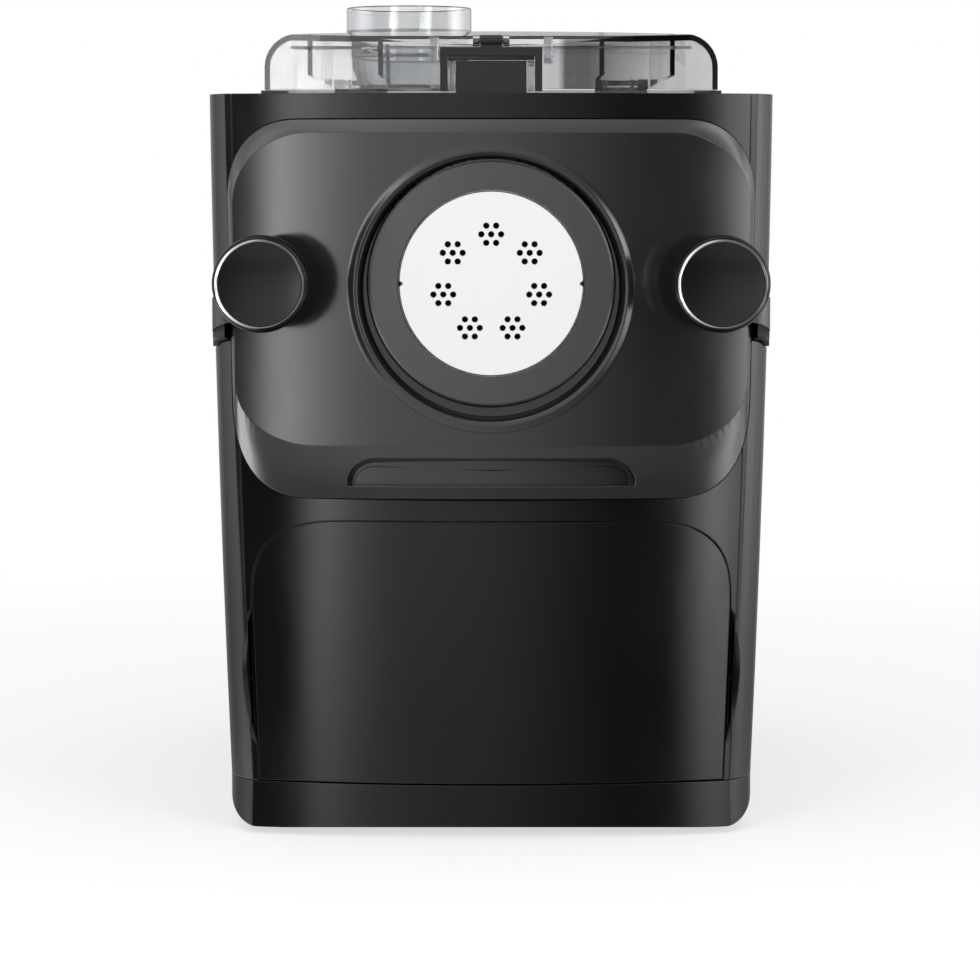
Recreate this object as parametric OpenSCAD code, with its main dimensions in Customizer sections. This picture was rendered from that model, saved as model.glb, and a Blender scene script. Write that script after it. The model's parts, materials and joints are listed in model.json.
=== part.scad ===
// Electric pasta maker: a tapered black housing with a clamped front panel and shaping disc, a clear
// lid with a liquid cup, a storage drawer, and the motor, gears and stirrer that they hold.
// Millimetres. +Z is up, the front faces -Y, the origin is under the middle of the whole machine.

/* [Housing] */
// Width of the housing across its top edge
body_w = 240; // [230:1:250]
// Height of the housing without the lid
body_h = 314.5; // [310:0.5:322]
// Depth of the housing from the middle of its front to its back
body_d = 330; // [326:1:350]
// Height of the base tray, up to its parting line
base_h = 23; // [21:0.5:25]
// How far each side leans in between the top edge and the base
side_lean = 7.6; // [5:0.1:9]
// Outward bow of each side between the top edge and the base
side_bow = 1.1; // [0.6:0.1:1.8]
// Radius of the curved front, seen from above
front_r = 400; // [380:5:460]
// Wall of the housing shells
wall = 3; // [2.4:0.1:3.4]
// Radius of the shoulder between the front and each side
shoulder_r = 32; // [28:1:36]
// Width of each shoulder seen from the front, from the side in to the fascia seam
shoulder_w = 10.7; // [9.5:0.1:12]
// Radius of the two rear corners
rear_r = 34; // [28:1:38]
// Radius of the base tray's lower edge
base_r = 12; // [9:0.5:14]
// Height of the rubber feet under the base tray
foot_h = 3; // [2:0.5:4]
// Radius of each rubber foot
foot_r = 10; // [8:0.5:12]

/* [Front panel] */
// Width of the fascia on each side of the panel, at the housing's top edge
panel_side = 9.4; // [9:0.1:11]
// Width of the bevel down each side of the panel
panel_bevel_side = 2.4; // [2.1:0.1:4.5]
// Height of the panel's lower edge
panel_z0 = 145.4; // [144:0.2:148]
// Height of the panel's upper edge
panel_z1 = 303.4; // [301:0.2:306]
// How far the panel stands out from the fascia
panel_rise = 13; // [12:0.5:14]
// Height of the front panel's upright edge, from the fascia to the foot of its bevel
panel_edge = 8; // [7:0.5:9]
// Height of the bevel along the panel's lower edge
panel_bevel_low = 22.3; // [20:0.5:24]
// Height of the bevel along the panel's upper edge
panel_bevel_high = 5.4; // [4:0.2:7]
// Width of the finger grip cut into the lower bevel
grip_w = 121; // [100:1:130]
// Height of the finger grip
grip_h = 12; // [10:0.5:13]

/* [Shaping disc] */
// Height of the axis of the disc, tube and stirrer
axis_z = 235.5; // [233:0.5:237]
// Visible diameter of the shaping disc
disc_d = 77; // [72:1:80]
// Outer diameter of the retaining ring
ring_d = 102; // [98:1:104]
// Diameter of the dish around the ring
dish_d = 115; // [112:0.5:118]
// Diameter of the dough holes
hole_d = 2.6; // [2:0.1:3]
// Number of groups of dough holes
hole_groups = 7; // [5:1:8]
// Distance of each group of holes from the shaping disc's middle
hole_ring_r = 20.4; // [19:0.2:24]

/* [Clamps] */
// Distance of each clamp knob's middle in from the housing's side
knob_side = 25.8; // [24:0.2:28]
// Height of the clamp knobs
knob_z = 236; // [234:0.5:238]
// Diameter of each clamp knob
knob_d = 40; // [38:0.5:41]
// Length of each clamp knob
knob_l = 22.5; // [20:0.5:24]
// Diameter of the clamp screws
screw_d = 8; // [7:0.5:9]
// Pitch of the clamp screws
screw_pitch = 2; // [1.5:0.25:2.5]
// Thickness of the clamp arms
arm_t = 7; // [6:0.5:7.5]
// Height of the arm hub on the housing's side
arm_hub_h = 20.6; // [18:0.2:22]
// Diameter of the arm pivot pins
arm_pin_d = 4; // [3.5:0.25:4.5]

/* [Drawer] */
// Height of the drawer front's upper edge
drawer_z1 = 134.8; // [130:0.2:136]
// Width of the fascia on each side of the drawer front, at the housing's top edge
drawer_side = 18.5; // [18:0.25:21]
// Depth of the drawer tray
drawer_depth = 186; // [170:1:190]
// Wall of the drawer tray
tray_wall = 2.4; // [2:0.2:3]
// Number of discs stored in the drawer
stored_count = 4; // [2:1:5]

/* [Lid] */
// Distance of the lid in from each side of the housing
lid_side = 24.5; // [24:0.5:27]
// Height of the lid above the housing
lid_h = 26.6; // [25:0.2:30]
// Depth of the lid from the middle of its front to its back
lid_d = 204; // [200:1:206]
// Wall of the lid
lid_wall = 2.4; // [2:0.1:3]
// Diameter of the liquid cup
cup_d = 54.6; // [50:0.2:56]
// Height of the cup above the lid
cup_rise = 12; // [10:0.5:16]
// Wall of the cup
cup_wall = 2; // [1.6:0.1:2.4]
// Width of the lid latch
latch_w = 42.6; // [38:0.2:46]

/* [Mixing chamber] */
// Radius of the round trough in the chamber
trough_r = 60; // [56:1:62]
// Wall of the chamber
chamber_wall = 3; // [2.5:0.1:3.5]
// Distance of the chamber's mouth in from each side of the housing
mouth_side = 34; // [33:0.5:38]
// Inside depth of the chamber
chamber_d = 168; // [160:1:170]
// Inside diameter of the extrusion tube
tube_d = 50; // [46:1:52]
// Diameter of the drive shaft
shaft_d = 12; // [10:0.5:14]

/* [Drive] */
// Module of the output gear and its pinion
slow_module = 2; // [2:0.01:2.02]
// Module of the motor pinion and its wheel
fast_module = 1.25; // [1.24:0.01:1.26]
// Teeth on the output gear
output_teeth = 66; // [64:2:66]
// Teeth on the layshaft pinion
lay_pinion_teeth = 14; // [14:1:15]
// Teeth on the layshaft wheel
lay_wheel_teeth = 60; // [58:2:60]
// Teeth on the motor pinion
motor_teeth = 12; // [12:1:14]
// Diameter of the motor
motor_d = 84; // [76:1:84]
// Length of the motor
motor_l = 66; // [60:1:68]

/* [Controls] */
// Width of the display window
display_w = 150; // [130:1:160]
// Depth of the display window
display_d = 62; // [54:1:66]
// Diameter of the push buttons
button_d = 15; // [12:0.5:18]
// Travel of the push buttons
button_travel = 1.2; // [0.8:0.1:1.4]

/* [Hidden] */
$fn = 96;

// Clearances
gap = 0.4;          // between fixed neighbours
seam = 0.1;         // between housing shells
slide_gap = 0.5;    // round pieces that slide
run_gap = 0.05;     // radial, round a turning shaft
far = 400;          // reach of a cut that goes right through

// Places along Y: the knobs' faces and the back of the housing are equally far from the middle
knob_reach = 42;
front_y = -(body_d + knob_reach) / 2 + knob_reach;
back_y = front_y + body_d;
front_cy = front_y + front_r;
knob_face_y = front_y - knob_reach;

// Curved sides: each is an arc through the top edge and the base's edge
half_w = body_w / 2;
base_half = half_w - side_lean;
panel_w = body_w - 2 * panel_side;
panel_face_w = panel_w - 2 * panel_bevel_side;
knob_x = half_w - knob_side;
drawer_w = body_w - 2 * drawer_side;
lid_w = body_w - 2 * lid_side;
mouth_w = body_w - 2 * mouth_side;
side_run = body_h - base_h;
side_chord = sqrt(side_lean * side_lean + side_run * side_run);
side_r = side_chord * side_chord / (8 * side_bow) + side_bow / 2;
lean_a = atan(side_lean / side_run);
side_half_a = asin(side_chord / 2 / side_r);
side_over_a = 0.12;
side_cx = half_w - side_lean / 2 + cos(lean_a) * (side_bow - side_r);
side_cz = (base_h + body_h) / 2 - sin(lean_a) * (side_bow - side_r);

// Half width of the housing at height z
function half_at(z) = side_cx + sqrt(side_r * side_r - (z - side_cz) * (z - side_cz));

// Y of the curved front at x, or of a surface that stands off from it
function front_at(x, off = 0) = front_cy - sqrt((front_r + off) * (front_r + off) - x * x);

// Points on an arc from angle a to angle b
function arc(cx, cy, r, a, b, n = 12) =
    [for (i = [0:n]) let (t = a + (b - a) * i / n) [cx + r * cos(t), cy + r * sin(t)]];

function reversed(p) = [for (i = [len(p) - 1:-1:0]) p[i]];
function mirrored(p) = [for (q = reversed(p)) [-q.x, q.y]];

// One quarter of a superellipse, from its side to its top
function quarter(a, b, n, steps) =
    [for (i = [0:steps]) let (t = 90 * i / steps) [a * pow(cos(t), 2 / n), b * pow(sin(t), 2 / n)]];

// An upright outline with soft corners: half widths w1 above and w0 below, heights z0 to z1
function soft_outline(w1, w0, z0, z1, top, low, steps = 14, spans = 1) =
    let (t = quarter(top.x, top.y, top.z, steps), l = quarter(low.x, low.y, low.z, steps))
    concat(
        [for (p = t) [w1 - top.x + p.x, z1 - top.y + p.y]],
        [for (i = [1:1:spans - 1]) [(w1 - top.x) * (1 - 2 * i / spans), z1]],
        [for (p = reversed(t)) [-(w1 - top.x + p.x), z1 - top.y + p.y]],
        [for (p = l) [-(w0 - low.x + p.x), z0 + low.y - p.y]],
        [for (i = [1:1:spans - 1]) [(w0 - low.x) * (2 * i / spans - 1), z0]],
        [for (p = reversed(l)) [w0 - low.x + p.x, z0 + low.y - p.y]]);

// Sweeps a plan, drawn at the top edge's width, down the right side's arc
module sweep_side() {
    translate([side_cx, 0, side_cz])
        rotate([90, 0, 0])
            rotate([0, 0, -lean_a - side_half_a - side_over_a])
                rotate_extrude(angle = 2 * (side_half_a + side_over_a), $fn = 1440)
                    translate([side_r - half_w, 0])
                        mirror([0, 1])
                            children();
}

// Everything between the two side arcs drawn in from the housing's sides by inset
module between_sides(inset) {
    intersection() {
        sweep_side() translate([half_w - inset - far, -far]) square([far, 2 * far]);
        mirror([1, 0, 0]) sweep_side() translate([half_w - inset - far, -far]) square([far, 2 * far]);
    }
}

// A flat slab between two heights, to cut to
module between_heights(z0, z1) {
    translate([-far, -far, z0]) cube([2 * far, 2 * far, z1 - z0]);
}

// The round front as a solid cylinder, standing off by off
module front_drum(off) {
    translate([0, front_cy, -far]) cylinder(r = front_r + off, h = 3 * far, $fn = 720);
}

// Extrudes an outline drawn in X and Z from y0 back to y1
module along_y(y0, y1) {
    translate([0, y1, 0]) rotate([90, 0, 0]) linear_extrude(y1 - y0) children();
}

// Extrudes an outline drawn in Y and Z from x0 to x1
module along_x(x0, x1) {
    translate([x0, 0, 0]) rotate([90, 0, 90]) linear_extrude(x1 - x0) children();
}

// A rod along Y
module rod_y(x, y0, y1, z, r, fn = 96) {
    translate([x, y1, z]) rotate([90, 0, 0]) cylinder(r = r, h = y1 - y0, $fn = fn);
}

// A box given by its corners
module box(a, b) {
    translate(a) cube(b - a);
}

// ---- Housing plan -------------------------------------------------------------------------------

seam_x = half_w - shoulder_w;
seam_base_x = seam_x - side_lean;
shoulder_run = sqrt(shoulder_r * shoulder_r - pow(shoulder_r - shoulder_w, 2));
shoulder_y = front_at(seam_base_x) + shoulder_run;
rear_seam_x = half_w - rear_r;

// The right side from the front seam to the rear seam, drawn in by inset, for a half width w
function side_path(w, inset) = concat(
    arc(w - shoulder_r, shoulder_y, shoulder_r - inset,
        -acos((shoulder_r - shoulder_w) / (shoulder_r - inset)), 0, 10),
    arc(w - rear_r, back_y - rear_r, rear_r - inset, 0, 90, 14));

// The whole plan at half width w, drawn in by inset
function plan(w, inset) =
    let (s = side_path(w, inset),
         x = s[0].x,
         f = [for (i = [-9:9]) [x * i / 10, front_at(x * i / 10, -inset)]])
    concat(f, s, mirrored(s));

module side_shell() {
    top_z = body_h;
    difference() {
        union() {
            intersection() {
                sweep_side()
                    polygon(concat(side_path(half_w, 0), reversed(side_path(half_w, wall))));
                front_drum(0);
                between_heights(base_h + gap / 2, top_z);
            }
            intersection() {
                scoop_ball(scoop_wall);
                sweep_side()
                    polygon(concat(side_path(half_w, 0.01), [[half_w - 2 * shoulder_w, back_y],
                        [half_w - shoulder_w - 0.01, front_y]]));
                front_drum(0);
                translate([seam_base_x - 2, front_y, 0]) cube([far, scoop_deep_y + scoop_wall - front_y, far]);
            }
            arm_pocket_block();
        }
        scoop_ball(0);
        drawer_opening();
        arm_pocket();
        arm_pin_bore();
    }
}

module left_side_shell() {
    color("#2b2b2d") mirror([1, 0, 0]) side_shell();
}

module right_side_shell() {
    color("#2b2b2d") side_shell();
}

// Finger scoops beside the drawer: a shallow ball pressed into the shoulder from the front
scoop_z = 69;
scoop_r = 29.3;
scoop_ball_r = 60;
scoop_wall = 2;
scoop_side = 4.5;
scoop_x = base_half - scoop_side - scoop_r;
scoop_y = front_at(scoop_x + scoop_r) - sqrt(scoop_ball_r * scoop_ball_r - scoop_r * scoop_r);
scoop_deep_y = scoop_y + scoop_ball_r;

module scoop_ball(grow) {
    translate([scoop_x, scoop_y, scoop_z]) sphere(r = scoop_ball_r + grow);
}

module front_fascia() {
    color("#2a2a2c")
    difference() {
        intersection() {
            union() {
                difference() {
                    front_drum(0);
                    front_drum(-wall);
                }
                drawer_frame();
            }
            front_drum(0);
            between_sides(shoulder_w + seam);
            between_heights(base_h + gap / 2, body_h);
            translate([-far, front_y - 1, 0]) cube([2 * far, frame_y1 - front_y + 1, far]);
        }
        drawer_opening();
        along_y(front_y - 20, frame_y1 + 1) polygon(drawer_outline(-frame_lip));
        box([frame_lip - drawer_low_w / 2, front_y - 20, 0], [drawer_low_w / 2 - frame_lip, frame_y1 + 1, 60]);
        rod_y(0, front_y - 20, front_y + 40, axis_z, tube_port_r);
        for (s = [0, 1]) {
            mirror([s, 0, 0]) scoop_ball(scoop_wall + gap);
        }
    }
}

frame_lip = 4;
frame_y1 = front_y + 46;

// Frame that stands behind the drawer's opening and stops the drawer front
module drawer_frame() {
    along_y(front_y, frame_y1) polygon(drawer_outline(slide_gap + 1.2));
}

// Room for the drawer front, as deep as its panel
module drawer_opening() {
    difference() {
        along_y(front_y - 20, frame_y1) polygon(drawer_outline(slide_gap));
        front_drum(-drawer_front_t - slide_gap);
    }
}

// Opening in the fascia for the extrusion tube
tube_port_r = ring_d / 2 + 3;

module base_tray() {
    color("#262628")
    difference() {
        base_form(0, foot_h, base_h - gap / 2);
        base_form(wall, foot_h + wall, base_h + 1);
        for (p = foot_places) {
            translate([p.x, p.y, foot_h - 1]) cylinder(r = foot_r * 0.6 + 0.1, h = 3);
        }
    }
    color("#262628") motor_cradle();
}

// The tray's outer form, drawn in by inset: its plan, rounded along the lower edges
module base_form(inset, z0, z1) {
    r = base_r - inset;
    intersection() {
        translate([0, 0, z0]) linear_extrude(z1 - z0) polygon(plan(base_half, inset));
        along_y(front_y - 1, back_y + 1)
            polygon(concat(
                arc(-base_half + base_r, foot_h + base_r, r, 180, 270, 10),
                arc(base_half - base_r, foot_h + base_r, r, 270, 360, 10),
                [[base_half - inset, body_h], [-base_half + inset, body_h]]));
        along_x(-half_w, half_w)
            polygon(concat(
                arc(front_y + base_r, foot_h + base_r, r, 180, 270, 10),
                arc(back_y - base_r, foot_h + base_r, r, 270, 360, 10),
                [[back_y - inset, body_h], [front_y + inset, body_h]]));
    }
}

foot_x = base_half - 26;
foot_front_y = front_y + 42;
foot_back_y = back_y - 30;
foot_places = [for (x = [-foot_x, foot_x]) for (y = [foot_front_y, foot_back_y]) [x, y]];

module rubber_feet() {
    color("#1c1c1c")
    for (p = foot_places) {
        translate([p.x, p.y, 0]) {
            cylinder(r = foot_r, h = foot_h);
            translate([0, 0, foot_h]) cylinder(r = foot_r * 0.6, h = 1.6);
        }
    }
}

// Upright cheeks in the base tray that hold the motor
module motor_cradle() {
    for (y = [motor_y0 + 10, motor_y0 + motor_l - 16]) {
        difference() {
            box([-34, y, foot_h + wall - 0.5], [34, y + 6, motor_z - 20]);
            rod_y(0, y - 1, y + 7, motor_z, motor_d / 2 + 0.3);
        }
    }
}

// ---- Rear panel ---------------------------------------------------------------------------------

vent_count = 9;
vent_pitch = 8;
vent_w = 96;
vent_r = 1.8;
vent_z = 70;
inlet_x = -50;
inlet_z = 50;
inlet_w = 28;
inlet_h = 21;

module rear_panel() {
    color("#2a2a2c")
    difference() {
        intersection() {
            box([-far, back_y - wall, base_h + gap / 2], [far, back_y, body_h]);
            between_sides(rear_r + seam);
        }
        for (i = [0:vent_count - 1]) {
            z = vent_z + i * vent_pitch;
            box([-vent_w / 2, back_y - wall - 1, z - vent_r], [vent_w / 2, back_y + 1, z + vent_r]);
            for (x = [-vent_w / 2, vent_w / 2]) {
                rod_y(x, back_y - wall - 1, back_y + 1, z, vent_r);
            }
        }
        box([inlet_x - inlet_w / 2 - gap, back_y - wall - 1, inlet_z - inlet_h / 2 - gap],
            [inlet_x + inlet_w / 2 + gap, back_y + 1, inlet_z + inlet_h / 2 + gap]);
        for (p = screw_places) {
            rod_y(p.x, back_y - wall - 1, back_y + 1, p.y, screw_shank_r + 0.1);
            rod_y(p.x, back_y - screw_head_h - 0.3, back_y + 1, p.y, screw_head_r + 0.3);
        }
    }
}

screw_shank_r = 1.75;
screw_head_r = 3.4;
screw_head_h = 1.5;
screw_x = half_w - rear_r - 12;
screw_places = [for (x = [-screw_x, screw_x]) for (z = [base_h + 12, body_h - 14]) [x, z]];

module housing_screws() {
    color("#9a9a9c")
    for (p = screw_places) {
        difference() {
            union() {
                rod_y(p.x, back_y - 14, back_y - 1, p.y, screw_shank_r);
                rod_y(p.x, back_y - screw_head_h - 0.2, back_y - 0.2, p.y, screw_head_r);
            }
            for (a = [0, 90]) {
                translate([p.x, back_y, p.y]) rotate([0, a, 0]) cube([4, 1.6, 0.9], center = true);
            }
        }
    }
}

// ---- Power inlet --------------------------------------------------------------------------------

module power_inlet() {
    depth = 20;
    color("#151515") {
        difference() {
            box([inlet_x - inlet_w / 2, back_y - depth, inlet_z - inlet_h / 2],
                [inlet_x + inlet_w / 2, back_y - 0.2, inlet_z + inlet_h / 2]);
            along_y(back_y - depth + 3, back_y + 1)
                polygon([for (p = [[-11, -7.5], [11, -7.5], [11, 4], [7.5, 7.5], [-7.5, 7.5], [-11, 4]])
                    [inlet_x + p.x, inlet_z + p.y]]);
        }
        for (p = [[-6, -1.5], [0, 2.5], [6, -1.5]]) {
            box([inlet_x + p.x - 1, back_y - depth + 2, inlet_z + p.y - 2],
                [inlet_x + p.x + 1, back_y - 5, inlet_z + p.y + 2]);
        }
    }
}

// ---- Top deck and controls ----------------------------------------------------------------------

deck_z = body_h - 0.8;
deck_t = 3;
chamber_y0 = front_y + 30;
chamber_y1 = chamber_y0 + chamber_d;
rim_w = 8;
mouth_x = mouth_w / 2 + chamber_wall;
display_y = back_y - 26 - display_d / 2;
button_y = display_y;
button_pitch = 36;
button_z = deck_z + 1.8;

module top_deck() {
    color("#262628")
    difference() {
        intersection() {
            translate([0, 0, deck_z - deck_t])
                linear_extrude(deck_t)
                    polygon(plan(half_at(deck_z - deck_t) - 0.1, wall + gap));
            front_drum(-wall - gap);
        }
        box([-mouth_x - gap, chamber_y0 - chamber_wall - gap, deck_z - 2 * deck_t],
            [mouth_x + gap, chamber_y1 + chamber_wall + gap, far]);
        box([-display_w / 2 - gap, display_y - display_d / 2 - gap, deck_z - 1.4],
            [display_w / 2 + gap, display_y + display_d / 2 + gap, far]);
        for (i = [-1:1]) {
            translate([i * button_pitch, button_y, 0])
                cylinder(r = button_d / 2 + slide_gap / 2, h = far);
        }
    }
}

module display_window() {
    color("#0d0d0f")
    difference() {
        box([-display_w / 2, display_y - display_d / 2, deck_z - 1.4],
            [display_w / 2, display_y + display_d / 2, deck_z + 0.6]);
        for (i = [-1:1]) {
            translate([i * button_pitch, button_y, 0])
                cylinder(r = button_d / 2 + slide_gap / 2, h = far);
        }
    }
}

// A round button with a flange under the deck and a stem towards its switch
module button(x) {
    translate([x, button_y, 0]) {
        translate([0, 0, deck_z - deck_t - 1.5]) cylinder(r = button_d / 2, h = button_z - deck_z + deck_t + 1.1);
        translate([0, 0, button_z - 0.4]) cylinder(r1 = button_d / 2, r2 = button_d / 2 - 0.4, h = 0.4);
        translate([0, 0, deck_z - deck_t - 1.7]) cylinder(r = button_d / 2 + 1.2, h = 1.4);
        translate([0, 0, switch_z + button_travel + 0.3])
            cylinder(r = 2.2, h = deck_z - deck_t - 1.5 - switch_z - button_travel - 0.3);
    }
}

module power_button() { color("#e9e9ea") button(-button_pitch); }
module program_button() { color("#e9e9ea") button(0); }
module start_button() { color("#e9e9ea") button(button_pitch); }

board_z = deck_z - 22;
board_t = 1.6;
switch_z = board_z + board_t + 6;

module control_board() {
    color("#1f5a35") {
        box([-display_w / 2 + 4, motor_y0 + 3, board_z],
            [display_w / 2 - 4, display_y + display_d / 2, board_z + board_t]);
        for (i = [-1:1]) {
            box([i * button_pitch - 6, button_y - 6, board_z + board_t - 0.01],
                [i * button_pitch + 6, button_y + 6, switch_z - 1.2]);
            translate([i * button_pitch, button_y, switch_z - 1.3]) cylinder(r = 2.5, h = 1.3);
        }
        for (x = [-display_w / 2 + 10, display_w / 2 - 10]) {
            for (y = [motor_y0 + 8, display_y + display_d / 2 - 6]) {
                translate([x, y, board_z + board_t - 0.01])
                    cylinder(r = 3, h = deck_z - deck_t - board_z - board_t - 0.2);
            }
        }
    }
}

// ---- Mixing chamber -----------------------------------------------------------------------------

flare_z = axis_z + 28;
mouth_z = flare_z + 36;
rim_z = body_h + 1.4;

// The chamber's cross section, grown by grow: a round trough that flares to a wide mouth
function trough(grow, top) = concat(
    arc(0, axis_z, trough_r + grow, 180, 360, 32),
    [[trough_r + grow, flare_z], [mouth_w / 2 + grow, mouth_z], [mouth_w / 2 + grow, top],
     [-mouth_w / 2 - grow, top], [-mouth_w / 2 - grow, mouth_z], [-trough_r - grow, flare_z]]);

module mixing_chamber() {
    color([0.86, 0.87, 0.88])
    difference() {
        union() {
            along_y(chamber_y0 - chamber_wall, chamber_y1 + chamber_wall)
                polygon(trough(chamber_wall, deck_z + 0.3));
            translate([0, 0, deck_z + 0.3])
                linear_extrude(rim_z - deck_z - 0.3)
                    polygon([for (p = [[-1, -1], [1, -1], [1, 1], [-1, 1]])
                        [p.x * (mouth_x + rim_w), (chamber_y0 + chamber_y1) / 2
                            + p.y * (chamber_d / 2 + chamber_wall + rim_w)]]);
        }
        along_y(chamber_y0, chamber_y1) polygon(trough(0, far));
        rod_y(0, chamber_y0 - 20, chamber_y0 + 1, axis_z, tube_d / 2);
        rod_y(0, chamber_y1 - 1, chamber_y1 + 20, axis_z, shaft_d / 2 + 0.3);
    }
}

// ---- Extrusion tube, disc and ring --------------------------------------------------------------

ring_y = front_y - 12;
ring_l = 15;
ring_lip = 3;
disc_y = ring_y;
flange_r = disc_d / 2 + 3.5;
flange_t = 4;
disc_l = 10;
tube_front_y = ring_y + ring_lip + flange_t + 0.4;
tube_back_y = chamber_y0 - chamber_wall - 0.2;
tube_wall = 4;
tube_mouth_r = disc_d / 2 - 4;
tube_rim_r = flange_r + 3;
ring_r = ring_d / 2;

module extrusion_tube() {
    color("#a9abad")
    difference() {
        union() {
            rod_y(0, tube_front_y, tube_front_y + 14, axis_z, tube_rim_r);
            rod_y(0, tube_front_y, tube_back_y, axis_z, tube_d / 2 + tube_wall);
            rod_y(0, tube_back_y - 4, tube_back_y, axis_z, tube_d / 2 + 12);
        }
        rod_y(0, tube_front_y - 1, tube_back_y + 1, axis_z, tube_d / 2);
        translate([0, tube_front_y + 12, axis_z]) rotate([90, 0, 0])
            cylinder(r1 = tube_d / 2, r2 = tube_mouth_r, h = 6);
        rod_y(0, tube_front_y - 1, tube_front_y + 6.01, axis_z, tube_mouth_r);
    }
}

hole_pitch = 4.1;

// Dough holes: a hexagon of holes repeated round the disc
module dough_holes(y0, y1) {
    for (g = [0:hole_groups - 1]) {
        a = 90 + 360 * g / hole_groups;
        x = hole_ring_r * cos(a);
        z = axis_z + hole_ring_r * sin(a);
        rod_y(x, y0, y1, z, hole_d / 2, 16);
        for (k = [0:5]) {
            rod_y(x + hole_pitch * cos(60 * k), y0, y1, z + hole_pitch * sin(60 * k), hole_d / 2, 16);
        }
    }
}

module shaping_disc() {
    color("#f2f2f0")
    difference() {
        union() {
            rod_y(0, disc_y, disc_y + disc_l, axis_z, tube_mouth_r - 0.3);
            rod_y(0, disc_y + ring_lip + 0.2, disc_y + ring_lip + flange_t, axis_z, flange_r);
            rod_y(0, disc_y + 0.6, disc_y + ring_lip + 1, axis_z, disc_d / 2);
            translate([0, disc_y + 0.6, axis_z]) rotate([90, 0, 0])
                cylinder(r1 = disc_d / 2, r2 = disc_d / 2 - 0.6, h = 0.6);
        }
        dough_holes(disc_y - 1, disc_y + disc_l + 1);
        for (s = [-1, 1]) {
            rod_y(s * disc_d / 2, disc_y - 1, disc_y + 1.5, axis_z, 1.3, 24);
        }
    }
}

module retaining_ring() {
    lip_r = disc_d / 2 + 0.45;
    color("#4c4c4e")
    translate([0, ring_y + ring_l, axis_z])
        rotate([90, 0, 0])
            rotate_extrude($fn = 180)
                polygon([[tube_rim_r + 0.25, 0], [ring_r - 0.8, 0], [ring_r, 0.8], [ring_r, ring_l - 0.9],
                    [ring_r - 0.9, ring_l], [lip_r, ring_l], [lip_r, ring_l - ring_lip],
                    [tube_rim_r + 0.25, ring_l - ring_lip]]);
}

// ---- Front panel --------------------------------------------------------------------------------

panel_gap = 0.3;
panel_spans = 22;
panel_shadow = 0.9;
panel_low_w = panel_w - 3.4;
panel_face_low_w = panel_face_w - 1.4;
dish_z = axis_z - 2.2;
dish_depth = 8;
dish_round = 3;

panel_outer = soft_outline(panel_w / 2, panel_low_w / 2, panel_z0, panel_z1,
    [30, 34, 2.3], [33, 46, 2.5], spans = panel_spans);
panel_inner = soft_outline(panel_face_w / 2, panel_face_low_w / 2, panel_z0 + panel_bevel_low,
    panel_z1 - panel_bevel_high, [33, 30, 2.05], [35, 27, 2.1], spans = panel_spans);

function on_drum(p, off) = [p.x, front_at(p.x, off), p.y];

// A solid through closed rings of points, from the rearmost to the foremost, with a point to close
// each end
module loft(rings, back, front) {
    n = len(rings[0]);
    m = len(rings);
    polyhedron(
        points = concat([for (r = rings) each r], [back, front]),
        faces = concat(
            [for (k = [0:m - 2]) for (i = [0:n - 1]) [k * n + i, (k + 1) * n + i, k * n + (i + 1) % n]],
            [for (k = [0:m - 2]) for (i = [0:n - 1])
                [(k + 1) * n + i, (k + 1) * n + (i + 1) % n, k * n + (i + 1) % n]],
            [for (i = [0:n - 1]) [m * n, i, (i + 1) % n]],
            [for (i = [0:n - 1]) [m * n + 1, (m - 1) * n + (i + 1) % n, (m - 1) * n + i]]));
}

// The outline a share t of the way up the bevel, which is steepest at its foot
function bevel_ring(t) =
    let (off = panel_edge + (panel_rise - panel_edge) * t * (1.35 - 0.35 * t))
    [for (i = [0:len(panel_outer) - 1]) on_drum(panel_outer[i] + t * (panel_inner[i] - panel_outer[i]), off)];

// Straight walls behind the outer outline, then a gently rounded bevel, run on past the face
module panel_block() {
    foot = bevel_ring(0);
    near = bevel_ring(0.67);
    lip = bevel_ring(1);
    past = [for (i = [0:len(near) - 1]) near[i] + 2 * (lip[i] - near[i])];
    mid_z = (panel_z0 + panel_z1) / 2;
    loft([[for (p = foot) [p.x, front_y + 40, p.z]], foot, bevel_ring(0.33), near, past],
        [0, front_y + 40, mid_z], [0, front_y - 90, mid_z]);
}

// A ring of points about the dish's centre, standing off the fascia's curve
function dish_ring(r, off) = [for (p = arc(0, dish_z, r, 0, 355, 71)) on_drum(p, off)];

// Sunken ring round the disc: a rounded edge that follows the curved face, then a steep wall
module dish_cut() {
    r = dish_d / 2;
    floor_y = ring_y + dish_depth;
    loft([
        [for (p = arc(0, dish_z, r - 4, 0, 355, 71)) [p.x, floor_y, p.y]],
        for (a = [85, 70, 55, 40, 26, 12])
            dish_ring(r - dish_round * sin(a), panel_rise - dish_round * (1 - cos(a))),
        dish_ring(r + 4, panel_rise + 1)],
        [0, floor_y, dish_z], [0, front_y - 90, dish_z]);
}

grip_z0 = panel_z0 + 5.3;
grip_floor = 1.4;

// Outline of the finger grip, drawn in from its sides, top and bottom: a flat lower edge with two round
// upper corners
function grip_outline(inset) =
    let (w = grip_w / 2 - inset.x, z0 = grip_z0 + inset.z,
         t = quarter(12 - inset.x, grip_h - inset.y - inset.z - 1, 1.9, 10))
    concat(
        [[w, z0]],
        [for (p = t) [w - t[0].x + p.x, z0 + 1 + p.y]],
        [for (p = reversed(t)) [-(w - t[0].x + p.x), z0 + 1 + p.y]],
        [[-w, z0]]);

function grip_ring(inset, off) = [for (p = grip_outline(inset)) on_drum(p, off)];

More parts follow.
